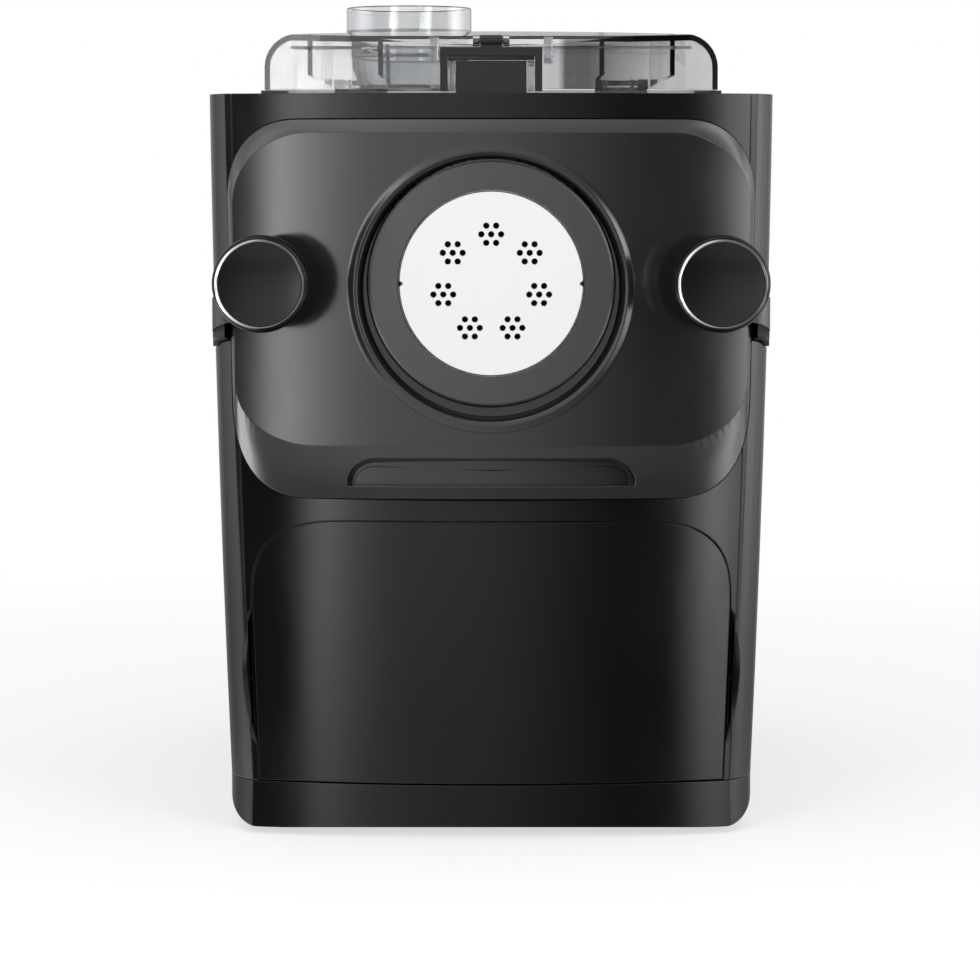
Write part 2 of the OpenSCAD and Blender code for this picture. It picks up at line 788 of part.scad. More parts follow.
// Sloping walls round the grip, with a low raised field in its floor
module grip_cut() {
    mid_z = grip_z0 + grip_h / 2;
    difference() {
        loft([grip_ring([2.3, 3, 0], 0), grip_ring([0, 0, 0], 10), grip_ring([0, 0, 0], 20)],
            [0, front_y + 30, mid_z], [0, front_y - 40, mid_z]);
        front_drum(grip_floor);
        loft([grip_ring([2.6, 3.4, 0.5], -1), grip_ring([3.6, 4.4, 1], grip_floor + 0.8)],
            [0, front_y + 30, mid_z], [0, front_at(0, grip_floor + 0.8), mid_z]);
    }
}

module front_panel() {
    color("#414244")
    difference() {
        intersection() {
            panel_block();
            front_drum(panel_rise);
        }
        front_drum(panel_gap);
        difference() {
            front_drum(panel_shadow);
            along_y(front_y - 60, front_y + 60)
                polygon(soft_outline(panel_w / 2 - 2, panel_low_w / 2 - 2, panel_z0 + 2, panel_z1 - 2,
                    [28, 32, 2.3], [31, 44, 2.5]));
        }
        dish_cut();
        rod_y(0, front_y - 60, front_y + 60, axis_z, ring_r + 0.8);
        grip_cut();
        for (s = [-1, 1]) {
            rod_y(s * knob_x, front_y - 60, pad_seat_y, knob_z, pad_r + 2);
        }
    }
}

// ---- Clamps -------------------------------------------------------------------------------------

pad_r = 7;
pad_seat_y = front_at(knob_x + pad_r, panel_rise);
arm_front_y = knob_face_y + knob_l + 0.5;
arm_back_y = arm_front_y + arm_t + 1;
arm_side_x = half_at(knob_z - 18) + 1.2;
arm_hub_z = knob_z - 18;
hub_r = 5.3;
hub_x = arm_side_x - hub_r;
hub_y = shoulder_y + 6;
hub_z0 = arm_hub_z - arm_hub_h / 2;
hub_z1 = arm_hub_z + arm_hub_h / 2;
boss_r = 15;
elbow_r = 14;
arm_lean_x = 3.4;
arm_elbow_x = arm_side_x - arm_lean_x;
arm_lean_a = atan(arm_lean_x / (hub_y - arm_front_y - elbow_r));
arm_split_y = front_y + 10;
pocket_gap = 0.7;

// The right arm seen from above: from the hub on the side, leaning in to the elbow, to the knob
module arm_plan() {
    inner_r = elbow_r - arm_t;
    polygon(concat(
        [[arm_side_x, hub_y]],
        [[hub_x - hub_r, hub_y], [hub_x - hub_r, front_y + 20], [arm_side_x - arm_t, front_y + 12]],
        arc(arm_elbow_x - elbow_r, arm_front_y + elbow_r, inner_r, -arm_lean_a, -90, 8),
        [[knob_x, arm_back_y], [knob_x, arm_front_y]],
        arc(arm_elbow_x - elbow_r, arm_front_y + elbow_r, elbow_r, -90, -arm_lean_a, 12)));
    translate([hub_x, hub_y]) circle(r = hub_r);
}

// The front of the arm, seen from the front: it falls away from the knob in a long curve
module arm_front() {
    w = arm_elbow_x - knob_x + 3.2;
    translate([knob_x, knob_z])
        polygon([[0, 9], [w * 0.45, 3], [w * 0.8, -5], [w, -9.5], [w, -23.5], [w * 0.94, -22], [w * 0.88, -20.2],
            [w * 0.8, -18.5], [w * 0.7, -17.2], [w * 0.58, -16.4], [w * 0.4, -15.6], [0, -13]]);
}

// The arm along the housing's side, from behind its front down to its hub
module arm_side() {
    polygon([
        [arm_split_y, knob_z - 23.5], [front_y + 22, hub_z0 + 2.5], [front_y + 28, hub_z0],
        [hub_y + 8, hub_z0], [hub_y + 8, hub_z1], [front_y + 28, hub_z1], [front_y + 16, knob_z - 8.5],
        [arm_split_y, knob_z - 9]]);
}

module arm() {
    difference() {
        union() {
            intersection() {
                translate([0, 0, -far]) linear_extrude(3 * far) arm_plan();
                union() {
                    along_y(arm_front_y - 1, arm_split_y + 0.01) arm_front();
                    along_x(knob_x + boss_r, half_w + 5) arm_side();
                }
            }
            rod_y(knob_x, arm_front_y, arm_back_y, knob_z, boss_r);
        }
        rod_y(knob_x, arm_front_y - 1, arm_back_y + 1, knob_z, screw_d / 2 + run_gap);
        translate([hub_x, hub_y, arm_hub_z - 40]) cylinder(r = arm_pin_d / 2 + run_gap, h = 80);
    }
}

module left_arm() { color("#8f9193") mirror([1, 0, 0]) arm(); }
module right_arm() { color("#8f9193") arm(); }

pocket_x = hub_x - hub_r - pocket_gap;
pocket_y1 = hub_y + hub_r + pocket_gap;
pocket_z0 = hub_z0 - pocket_gap;
pocket_z1 = hub_z1 + pocket_gap;
pocket_wall = 3;

// Recess in the side shell that the arm folds into, with its lower edge following the arm
module arm_pocket() {
    along_x(pocket_x, far)
        polygon([
            [front_y - 20, knob_z - 23.5 - pocket_gap], [arm_split_y, knob_z - 23.5 - pocket_gap],
            [front_y + 22, pocket_z0 + 2.5], [front_y + 28, pocket_z0], [pocket_y1, pocket_z0],
            [pocket_y1, pocket_z1], [front_y - 20, pocket_z1]]);
}

module arm_pocket_block() {
    intersection() {
        box([pocket_x - pocket_wall, shoulder_y - 22, pocket_z0 - pocket_wall],
            [far, pocket_y1 + pocket_wall, pocket_z1 + pocket_wall]);
        sweep_side()
            polygon(concat(side_path(half_w, 0.01), [[0, back_y - 1], [0, front_y - 20]]));
        front_drum(-wall - gap);
    }
}

module arm_pin_bore() {
    translate([hub_x, hub_y, pocket_z0 - pocket_wall - 1])
        cylinder(r = arm_pin_d / 2 + run_gap, h = pocket_z1 - pocket_z0 + pocket_wall + 4);
}

module arm_pivot_pins() {
    color("#b5b7b9")
    for (s = [-1, 1]) {
        translate([s * hub_x, hub_y, pocket_z0 - pocket_wall + 0.2])
            cylinder(r = arm_pin_d / 2, h = pocket_z1 - pocket_z0 + pocket_wall + 2);
    }
}

knob_r = knob_d / 2;
trim_r = 18.3;
cap_r = 17.1;
knob_back_y = knob_face_y + knob_l;

// A knob with its screw: turned about the screw's axis, front face towards -Y
module knob(s) {
    translate([s * knob_x, knob_back_y, knob_z])
        rotate([90, 0, 0])
            rotate_extrude($fn = 128)
                polygon(concat(
                    [[0, -(pad_front_y - knob_back_y) + 0.1], [screw_d / 2, -(pad_front_y - knob_back_y) + 0.1],
                     [screw_d / 2, 0], [knob_r - 0.9, 0], [knob_r - 0.4, 0.5]],
                    arc(knob_r - 5, knob_l - 9, 5, 0, 62, 8),
                    [[trim_r + 0.1, knob_l - 3.2], [cap_r - 1, knob_l - 3.2], [0, knob_l - 3.2]]));
}

pad_t = 5;
pad_front_y = pad_seat_y - panel_gap - pad_t;

module left_knob() { color("#232324") knob(-1); }
module right_knob() { color("#232324") knob(1); }

// Bright ring round the knob's face
module knob_trim(s) {
    translate([s * knob_x, knob_back_y, knob_z])
        rotate([90, 0, 0])
            rotate_extrude($fn = 128)
                polygon([[cap_r + 0.1, knob_l - 3.1], [trim_r, knob_l - 3.1], [trim_r, knob_l - 0.7],
                    [trim_r - 0.5, knob_l], [cap_r + 0.3, knob_l], [cap_r + 0.1, knob_l - 0.2]]);
}

module left_knob_trim() { color("#d6d8da") knob_trim(-1); }
module right_knob_trim() { color("#d6d8da") knob_trim(1); }

// Flat disc inside the trim ring
module knob_cap(s) {
    translate([s * knob_x, knob_back_y, knob_z])
        rotate([90, 0, 0])
            translate([0, 0, knob_l - 3.1]) cylinder(r = cap_r, h = 2.6);
}

module left_knob_cap() { color("#1b1b1c") knob_cap(-1); }
module right_knob_cap() { color("#1b1b1c") knob_cap(1); }

// Swivel pad at the screw's end that presses on the panel
module thrust_pad(s) {
    rod_y(s * knob_x, pad_front_y + 2, pad_seat_y - panel_gap, knob_z, pad_r);
    rod_y(s * knob_x, pad_front_y + 0.1, pad_front_y + 2, knob_z, screw_d / 2 + 1);
}

module left_thrust_pad() { color("#303032") thrust_pad(-1); }
module right_thrust_pad() { color("#303032") thrust_pad(1); }

// ---- Drawer -------------------------------------------------------------------------------------

drawer_z0 = base_h + 0.6;
drawer_low_w = drawer_w - 5.6;
drawer_top_z = drawer_z1 - 22;

function drawer_outline(grow) =
    let (t = quarter(44, 36, 2.9, 14), w = drawer_w / 2 + grow, l = drawer_low_w / 2 + grow,
         z0 = drawer_z0 - grow, z1 = drawer_z1 + grow)
    concat(
        [for (p = t) [w - 44 + p.x, z1 - 36 + p.y]],
        [for (p = reversed(t)) [-(w - 44 + p.x), z1 - 36 + p.y]],
        [[-l, z0], [l, z0]]);

drawer_front_t = 3.4;
tray_side = 7.5;
tray_w = drawer_w - 2 * tray_side;
tray_z0 = base_h + 3;
tray_z1 = drawer_top_z + 1;
tray_y0 = front_at(tray_w / 2, -drawer_front_t) - 1;
tray_y1 = front_y + drawer_front_t + drawer_depth;

module drawer_front() {
    color("#28282a")
    difference() {
        intersection() {
            along_y(front_y - 20, front_y + 40) polygon(drawer_outline(0));
            front_drum(0);
        }
        front_drum(-drawer_front_t);
    }
}

module drawer_tray() {
    color("#3a3a3c") {
        difference() {
            intersection() {
                box([-tray_w / 2, front_y, tray_z0], [tray_w / 2, tray_y1, tray_z1]);
                front_drum(-drawer_front_t);
            }
            intersection() {
                box([-tray_w / 2 + tray_wall, front_y, tray_z0 + tray_wall],
                    [tray_w / 2 - tray_wall, tray_y1 - tray_wall, far]);
                front_drum(-drawer_front_t - tray_wall);
            }
        }
        for (i = [0:stored_count]) {
            y = stored_y(i) - stored_pitch / 2;
            for (s = [-1, 1]) {
                box([s * 30 - 12, y - 1, tray_z0 + tray_wall - 0.1], [s * 30 + 12, y + 1, tray_z0 + 28]);
            }
        }
    }
}

stored_pitch = 24;
stored_t = 10;
function stored_y(i) = front_y + 46 + i * stored_pitch;

module stored_discs() {
    color("#efefed")
    for (i = [0:stored_count - 1]) {
        z = tray_z0 + tray_wall + flange_r + 0.2;
        difference() {
            union() {
                rod_y(0, stored_y(i) - stored_t / 2, stored_y(i) + stored_t / 2, z, disc_d / 2);
                rod_y(0, stored_y(i) - 2, stored_y(i) + 2, z, flange_r);
            }
            for (k = [0:5]) {
                a = 60 * k + 15 * i;
                rod_y(hole_ring_r * cos(a), stored_y(i) - 6, stored_y(i) + 6, z + hole_ring_r * sin(a),
                    2.5 + i, 24);
            }
        }
    }
}

module drawer_runners() {
    color("#55565a")
    for (s = [-1, 1]) {
        difference() {
            mirror([s > 0 ? 0 : 1, 0, 0])
                box([tray_w / 2 - 8, chassis_y0, floor_z],
                    [cheek_x - 2.2, tray_y1 - 4, tray_z0 + 6]);
            mirror([s > 0 ? 0 : 1, 0, 0])
                box([0, front_y, tray_z0 - 0.3], [tray_w / 2 + slide_gap, tray_y1 + 10, far]);
        }
    }
}

// ---- Chassis ------------------------------------------------------------------------------------

shelf_z = drawer_z1 + 2.5;
bulkhead_y = chamber_y1 + chamber_wall + 3;
bulkhead_t = 4;
runner_w = 4.5;
cheek_x = tray_w / 2 + runner_w;
chassis_y0 = frame_y1 + 1;
floor_z = foot_h + wall + 0.3;

module chassis() {
    color("#6c6e70")
    difference() {
        union() {
            box([-cheek_x, chassis_y0, shelf_z], [cheek_x, bulkhead_y + 1, shelf_z + 3]);
            box([-cheek_x, bulkhead_y, floor_z], [cheek_x, bulkhead_y + bulkhead_t, deck_z - deck_t - 0.3]);
            for (s = [-1, 1]) {
                box([s * cheek_x - 2, chassis_y0, floor_z],
                    [s * cheek_x + 2, bulkhead_y + 1, deck_z - deck_t - 0.3]);
            }
            for (y = [chamber_y0 + 20, chamber_y1 - 18]) {
                box([-cheek_x, y, shelf_z + 1], [cheek_x, y + 6, axis_z - 10]);
            }
        }
        along_y(chamber_y0 - chamber_wall - 20, chamber_y1 + chamber_wall + gap)
            polygon(trough(chamber_wall + gap, far));
        rod_y(0, bulkhead_y - 10, bulkhead_y + 10, axis_z, bearing_r + 0.02);
    }
}

// ---- Gearbox ------------------------------------------------------------------------------------

box_y0 = bulkhead_y + bulkhead_t + 0.2;
box_t = 3;
slow_y0 = box_y0 + box_t + 1.5;
slow_w = 14;
fast_y0 = slow_y0 + slow_w + 3;
fast_w = 10;
cover_y0 = fast_y0 + fast_w + 2;
motor_y0 = cover_y0 + box_t + 0.3;
bearing_r = shaft_d / 2 + 4;
lay_z = axis_z - slow_module * (output_teeth + lay_pinion_teeth) / 2;
motor_z = lay_z - fast_module * (lay_wheel_teeth + motor_teeth) / 2;
axle_r = 4;
motor_shaft_r = 3;
output_r = slow_module * (output_teeth / 2 + 1);
lay_r = fast_module * (lay_wheel_teeth / 2 + 1);
backlash = 0.16;
pressure_a = 20;

// One flank of an involute tooth as polar points [r, angle from the tooth's middle]
function involute_a(rb, r) = let (t = sqrt(r * r / (rb * rb) - 1)) t * 180 / PI - atan(t);

function gear_points(m, teeth) =
    let (rp = m * teeth / 2, rb = rp * cos(pressure_a), ra = rp + m, rf = rp - 1.25 * m,
         half = 90 / teeth - backlash / 2 / rp * 180 / PI + involute_a(rb, rp),
         r0 = max(rb, rf) + 0.01,
         flank = [for (i = [0:3]) let (r = r0 + (ra - r0) * i / 3) [r, half - involute_a(rb, r)]])
    [for (k = [0:teeth - 1]) each
        let (c = 360 * k / teeth,
             pts = concat([[rf, -flank[0].y]], [for (p = flank) [p.x, -p.y]],
                 [for (p = reversed(flank)) p], [[rf, flank[0].y]]))
        [for (p = pts) [p.x * cos(c + p.y), p.x * sin(c + p.y)]]];

// A spur gear about an axis along Y, with a tooth towards the angle given
module spur(m, teeth, z, y0, y1, tooth_a) {
    translate([0, y1, z]) rotate([90, 0, 0])
        linear_extrude(y1 - y0) rotate(tooth_a) polygon(gear_points(m, teeth));
}

module output_gear() {
    color("#e8e6df")
    difference() {
        union() {
            spur(slow_module, output_teeth, axis_z, slow_y0, slow_y0 + slow_w, -90);
            rod_y(0, slow_y0 - 1, slow_y0 + slow_w + 2, axis_z, shaft_d / 2 + 8);
        }
        for (k = [0:5]) {
            rod_y(output_r * 0.56 * cos(60 * k + 30), slow_y0 - 2, slow_y0 + slow_w + 3,
                axis_z + output_r * 0.56 * sin(60 * k + 30), output_r * 0.19);
        }
        rod_y(0, slow_y0 - 2, slow_y0 + slow_w + 3, axis_z, shaft_d / 2 + 0.02);
    }
}

module layshaft_gear() {
    color("#dedcd4")
    difference() {
        union() {
            spur(slow_module, lay_pinion_teeth, lay_z, slow_y0, fast_y0 + 0.5, 90 + 180 / lay_pinion_teeth);
            spur(fast_module, lay_wheel_teeth, lay_z, fast_y0, fast_y0 + fast_w, -90);
        }
        rod_y(0, slow_y0 - 2, fast_y0 + fast_w + 3, lay_z, axle_r + run_gap);
    }
}

module layshaft_axle() {
    color("#b5b7b9") rod_y(0, box_y0 + 0.2, cover_y0 + box_t - 0.2, lay_z, axle_r);
}

module motor_pinion() {
    color("#b5b7b9") {
        spur(fast_module, motor_teeth, motor_z, fast_y0 - 0.5, fast_y0 + fast_w + 0.5, 90 + 180 / motor_teeth);
        rod_y(0, fast_y0 + fast_w, motor_y0 + 8, motor_z, motor_shaft_r);
    }
}

module gearbox_outline(grow) {
    translate([0, axis_z]) circle(r = output_r + 2 + grow);
    translate([0, lay_z]) circle(r = lay_r + 2 + grow);
    translate([0, motor_z]) circle(r = 26 + grow);
    translate([-lay_r * 0.8 - grow, lay_z]) square([lay_r * 1.6 + 2 * grow, 50]);
    translate([-24 - grow, motor_z]) square([48 + 2 * grow, 30]);
}

module gearbox_housing() {
    color("#7d7f82")
    difference() {
        along_y(box_y0, cover_y0 - 0.2) gearbox_outline(box_t);
        along_y(box_y0 + box_t, cover_y0 + 1) gearbox_outline(0);
        rod_y(0, box_y0 - 1, box_y0 + box_t + 1, axis_z, bearing_r + 0.02);
        rod_y(0, box_y0 - 1, box_y0 + box_t + 1, lay_z, axle_r + 0.02);
    }
}

module gearbox_cover() {
    color("#85878a")
    difference() {
        along_y(cover_y0, cover_y0 + box_t) gearbox_outline(box_t);
        rod_y(0, cover_y0 - 1, cover_y0 + box_t + 1, axis_z, bearing_r + 0.02);
        rod_y(0, cover_y0 - 1, cover_y0 + box_t + 1, lay_z, axle_r + 0.02);
        rod_y(0, cover_y0 - 1, cover_y0 + box_t + 1, motor_z, motor_shaft_r + 1.5);
    }
}

module shaft_bearings() {
    color("#b08d57")
    for (r = [[bulkhead_y, box_y0 + box_t + 0.3], [cover_y0 - 0.5, cover_y0 + box_t]]) {
        difference() {
            rod_y(0, r[0], r[1], axis_z, bearing_r);
            rod_y(0, r[0] - 1, r[1] + 1, axis_z, shaft_d / 2 + run_gap);
        }
    }
}

module drive_shaft() {
    color("#b5b7b9") rod_y(0, chamber_y1 - 26, cover_y0 + box_t - 0.3, axis_z, shaft_d / 2);
}

module motor() {
    color("#8a8c8f")
    difference() {
        union() {
            rod_y(0, motor_y0, motor_y0 + motor_l, motor_z, motor_d / 2);
            rod_y(0, motor_y0 + motor_l - 0.1, motor_y0 + motor_l + 4, motor_z, motor_d / 4);
        }
        rod_y(0, motor_y0 - 1, motor_y0 + 9, motor_z, motor_shaft_r + run_gap);
        for (k = [0:11]) {
            rotate_about([0, 0, motor_z], 30 * k)
                box([motor_d / 2 - 3, motor_y0 + 12, motor_z - 2.5],
                    [motor_d / 2 + 3, motor_y0 + motor_l - 12, motor_z + 2.5]);
        }
    }
}

// Turns children about a line along Y through p
module rotate_about(p, a) {
    translate(p) rotate([0, a, 0]) translate(-p) children();
}

// ---- Stirrer ------------------------------------------------------------------------------------

hub_len_y0 = chamber_y0 + 3;
hub_len_y1 = chamber_y1 - 3;
stir_r = trough_r - 3;
core_r = shaft_d / 2 + 4;
paddle_in = 16;

module stirring_bar() {
    color("#4a4b4d")
    difference() {
        union() {
            rod_y(0, hub_len_y0, hub_len_y1, axis_z, core_r);
            for (i = [0:3]) {
                y = hub_len_y0 + paddle_in + i * (hub_len_y1 - hub_len_y0 - 2 * paddle_in) / 3;
                rotate_about([0, 0, axis_z], 90 * i) {
                    box([-5, y - 6, axis_z], [5, y + 6, axis_z + stir_r - 6]);
                    intersection() {
                        rod_y(0, y - 11, y + 11, axis_z, stir_r);
                        box([-7, y - 11, axis_z + stir_r - 10], [7, y + 11, axis_z + stir_r]);
                    }
                }
            }
        }
        rod_y(0, chamber_y1 - 27, hub_len_y1 + 1, axis_z, shaft_d / 2 + 0.1);
    }
}

auger_turns = 2;

module auger_screw() {
    y1 = hub_len_y0 - 0.2;
    y0 = tube_front_y + 8;
    color("#4a4b4d")
    translate([0, y1, axis_z])
        rotate([90, 0, 0])
            linear_extrude(height = y1 - y0, twist = -360 * auger_turns, slices = 28)
                polygon([for (i = [0:23]) let (a = 360 * i / 24,
                    r = core_r - 2 + (tube_d / 2 - 1.2 - core_r + 2) * pow(max(0, cos(a)), 3))
                    [r * cos(a), r * sin(a)]]);
}

// ---- Lid ----------------------------------------------------------------------------------------

lid_z0 = rim_z + 0.3;
lid_z1 = body_h + lid_h;
lid_front_y = front_y + 8;
lid_back_y = lid_front_y + lid_d;
lid_half = lid_w / 2;
lid_arch = 1.6;
lid_corner = 14;
lid_front_round = 8;
hinge_y = lid_back_y + 6;
hinge_z = deck_z + 7.5;
hinge_pin_r = 2;
hinge_x = 62;

// The lid's outer form, drawn in by inset on its sides and top
module lid_form(inset, z0) {
    r = front_r - 8;
    corner = lid_corner - inset;
    top = lid_z1 - inset;
    arch_r = (pow(lid_half - lid_corner, 2) + lid_arch * lid_arch) / (2 * lid_arch);
    arch_a = asin((lid_half - lid_corner) / arch_r);
    intersection() {
        translate([0, 0, z0]) linear_extrude(far)
            polygon(concat(
                [for (i = [-8:8]) let (x = (lid_half - inset) * i / 8)
                    [x, front_cy - sqrt(pow(r - inset, 2) - x * x)]],
                arc(lid_half - 10, lid_back_y - 10, 10 - inset, 0, 90, 6),
                arc(-lid_half + 10, lid_back_y - 10, 10 - inset, 90, 180, 6)));
        along_y(lid_front_y - 1, lid_back_y + 1)
            polygon(concat(
                [[-lid_half + inset, z0]], [[lid_half - inset, z0]],
                arc(lid_half - lid_corner, top - lid_arch - corner, corner, 0, 85, 8),
                arc(0, top - arch_r, arch_r, 90 - arch_a, 90 + arch_a, 16),
                arc(-lid_half + lid_corner, top - lid_arch - corner, corner, 95, 180, 8)));
        along_x(-lid_half, lid_half)
            polygon(concat(
                [[lid_front_y - 1, z0], [lid_back_y + 1, z0], [lid_back_y + 1, top - lid_front_round]],
                arc(lid_back_y - inset - lid_front_round, top - lid_front_round, lid_front_round, 0, 90, 8),
                [[lid_front_y + inset + 14 + lid_front_round, top],
                 [lid_front_y + inset + 4, top - lid_front_round / 3],
                 [lid_front_y - 1, top - lid_front_round]]));
    }
}

cup_x = -35.9;
cup_y = -65;
cup_hole_r = cup_d / 2 - 0.8;
rib_x = [46.3, 76];

module lid() {
    color([0.9, 0.92, 0.94, 0.35])
    difference() {
        union() {
            difference() {
                lid_form(0, lid_z0);
                lid_form(lid_wall, lid_z0 - 1);
            }
            intersection() {
                lid_form(lid_wall / 2, lid_z0);
                for (x = rib_x) {
                    for (s = [-1, 1]) {
                        box([s * x - 1, lid_front_y, lid_z0 + 6], [s * x + 1, lid_back_y, lid_z1]);
                    }
                }
            }
            lid_knuckles();
            latch_ears();
        }
        translate([cup_x, cup_y, 0]) cylinder(r = cup_hole_r, h = far);
        rod_x(hinge_y, hinge_z, hinge_pin_r + run_gap);
    }
}

module rod_x(y, z, r, x0 = -far, x1 = far) {
    translate([x0, y, z]) rotate([0, 90, 0]) cylinder(r = r, h = x1 - x0);
}

knuckle_w = 14;

module lid_knuckles() {
    for (s = [-1, 1]) {
        difference() {
            union() {
                rod_x(hinge_y, hinge_z, 4.2, s * hinge_x - knuckle_w / 2, s * hinge_x + knuckle_w / 2);
                box([s * hinge_x - knuckle_w / 2, lid_back_y - 2, hinge_z - 3],
                    [s * hinge_x + knuckle_w / 2, hinge_y, hinge_z + 4.2]);
            }
            lid_form(lid_wall, lid_z0 - 1);
        }
    }
}

// Pairs of ears that stand on the deck on each side of a knuckle
module lid_hinge_brackets() {
    ear = 5;
    color("#262628")
    for (s = [-1, 1]) {
        for (side = [-1, 1]) {
            x = s * hinge_x + side * (knuckle_w / 2 + 0.4 + ear / 2);
            difference() {
                union() {
                    rod_x(hinge_y, hinge_z, 5, x - ear / 2, x + ear / 2);
                    box([x - ear / 2, hinge_y - 5 + 2.2, deck_z], [x + ear / 2, hinge_y + 5, hinge_z]);
                }
                rod_x(hinge_y, hinge_z, hinge_pin_r + run_gap);
            }
        }
    }
}

module lid_hinge_pins() {
    reach = knuckle_w / 2 + 5.2;
    color("#b5b7b9")
    for (s = [-1, 1]) {
        rod_x(hinge_y, hinge_z, hinge_pin_r, s * hinge_x - reach, s * hinge_x + reach);
    }
}

// Latch: a black frame on the lid's front that straddles a catch on the deck
latch_y1 = lid_front_y - 0.5;
latch_t = 4;
latch_y0 = latch_y1 - latch_t;
latch_leg = 3.1;
latch_top = body_h + 19;
latch_slab = 3.7;
catch_w = 29.6;
latch_pin_r = 1.2;
latch_pin_z = latch_top + 2.7;
latch_pin_y = latch_y1 - 2;
knuckle_r = 2.4;
knuckle_half = 4.6;

module lid_latch() {
    z0 = body_h + 0.8;
    color("#141415")
    difference() {
        union() {
            box([-latch_w / 2, latch_y0, latch_top - latch_slab], [latch_w / 2, latch_y1, latch_top]);
            for (s = [-1, 1]) {
                box([s > 0 ? latch_w / 2 - latch_leg : -latch_w / 2, latch_y0, z0],
                    [s > 0 ? latch_w / 2 : -latch_w / 2 + latch_leg, latch_y1, latch_top]);
            }
            rod_x(latch_pin_y, latch_pin_z, knuckle_r, -knuckle_half, knuckle_half);
            box([-knuckle_half, latch_pin_y - 1.6, latch_top - 1],
                [knuckle_half, latch_pin_y + 1.6, latch_pin_z]);
        }
        rod_x(latch_pin_y, latch_pin_z, latch_pin_r + run_gap);
    }
}

// Ears on the lid that carry the latch's pin
module latch_ears() {
    for (s = [-1, 1]) {
        mirror([s > 0 ? 0 : 1, 0, 0])
            difference() {
                union() {
                    rod_x(latch_pin_y, latch_pin_z, knuckle_r, knuckle_half + 0.3, knuckle_half + 3);
                    box([knuckle_half + 0.3, latch_pin_y, latch_pin_z - 1.8],
                        [knuckle_half + 3, lid_front_y + 5, latch_pin_z + 1.8]);
                }
                lid_form(lid_wall, lid_z0 - 1);
                rod_x(latch_pin_y, latch_pin_z, latch_pin_r);
            }
    }
}

module latch_pin() {
    color("#141415")
        rod_x(latch_pin_y, latch_pin_z, latch_pin_r - 0.01, -knuckle_half - 2.8, knuckle_half + 2.8);
}

module latch_catch() {
    color("#1a1a1b")
    box([-catch_w / 2, latch_y0 + 0.6, deck_z], [catch_w / 2, latch_y1 - 0.3, body_h + 13.4]);
}

// Liquid cup: a clear round cup that stands in the lid, narrowing to a spout below
cup_top = lid_z1 + cup_rise;
cup_shoulder_z = lid_z1 + 0.2;
cup_low_z = lid_z0 + 1.5;

module liquid_cup() {
    r = cup_d / 2;
    spigot = cup_hole_r - 0.35;
    w = cup_wall;
    color([0.9, 0.92, 0.94, 0.35])
    translate([cup_x, cup_y, 0])
        rotate_extrude($fn = 128)
            polygon([[r, cup_top - 0.4], [r, cup_shoulder_z], [spigot, cup_shoulder_z],
                [spigot, lid_z1 - 10], [spigot - 5, cup_low_z], [10, cup_low_z], [10, cup_low_z + w],
                [spigot - 5 - w * 0.6, cup_low_z + w], [spigot - w, lid_z1 - 9], [r - w, cup_shoulder_z + w],
                [r - w, cup_top - 0.4], [r - w + 0.4, cup_top], [r - 0.4, cup_top]]);
}

module lid_switch() {
    x = lid_half - 12;
    color("#202022") {
        box([x - 10, lid_back_y + 6, deck_z - deck_t - 16], [x + 10, lid_back_y + 13, deck_z - deck_t - 0.2]);
    }
}

base_tray();
rubber_feet();
front_fascia();
left_side_shell();
right_side_shell();
rear_panel();
top_deck();
display_window();
power_button();
program_button();
start_button();
control_board();
power_inlet();
chassis();
gearbox_housing();
gearbox_cover();
output_gear();
drive_shaft();
shaft_bearings();
layshaft_gear();
layshaft_axle();
motor();
motor_pinion();
housing_screws();
mixing_chamber();
extrusion_tube();
stirring_bar();
auger_screw();
shaping_disc();
retaining_ring();
front_panel();
lid();
lid_hinge_brackets();
lid_hinge_pins();
lid_latch();
latch_pin();
latch_catch();
liquid_cup();
lid_switch();
left_arm();
right_arm();
arm_pivot_pins();
left_knob();
right_knob();
left_knob_trim();
right_knob_trim();
left_knob_cap();
right_knob_cap();
left_thrust_pad();
right_thrust_pad();
drawer_front();
drawer_tray();
stored_discs();
drawer_runners();
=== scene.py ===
"""Electric pasta maker: materials, trim details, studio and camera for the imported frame."""

import json
import math

import bmesh
import bpy
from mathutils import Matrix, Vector


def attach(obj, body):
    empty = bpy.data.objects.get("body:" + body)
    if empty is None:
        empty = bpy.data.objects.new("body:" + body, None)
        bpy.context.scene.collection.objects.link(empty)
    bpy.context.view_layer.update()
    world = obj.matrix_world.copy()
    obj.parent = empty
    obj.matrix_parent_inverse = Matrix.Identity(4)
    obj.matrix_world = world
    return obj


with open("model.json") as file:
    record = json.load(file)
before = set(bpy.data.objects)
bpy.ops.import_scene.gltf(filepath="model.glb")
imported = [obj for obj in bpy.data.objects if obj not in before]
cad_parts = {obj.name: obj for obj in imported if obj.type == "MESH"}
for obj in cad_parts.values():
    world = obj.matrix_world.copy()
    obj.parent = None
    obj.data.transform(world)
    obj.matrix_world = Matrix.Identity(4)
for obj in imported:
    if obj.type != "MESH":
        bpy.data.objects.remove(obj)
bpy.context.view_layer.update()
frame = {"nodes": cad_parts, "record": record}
NODES = frame["nodes"]
MM = 0.001

# Places that the materials and the trim share with the solids, in metres
FRONT_MID_Y = 0.256  # middle of the upright drums that the front follows
FASCIA_R, PANEL_R, GRIP_R = 0.4, 0.413, 0.4014  # radii of the fascia, the panel's face and the grip's floor
AXIS_Z = 0.2355  # middle of the shaping disc and its ring
DISH_Z = 0.2333  # middle of the dish in the front panel
PIT_X = 0.0374  # dimples at the disc's sides
KNOB_X, KNOB_Z = 0.0942, 0.236


# ---- Node helpers ----------------------------------------------------------------------------


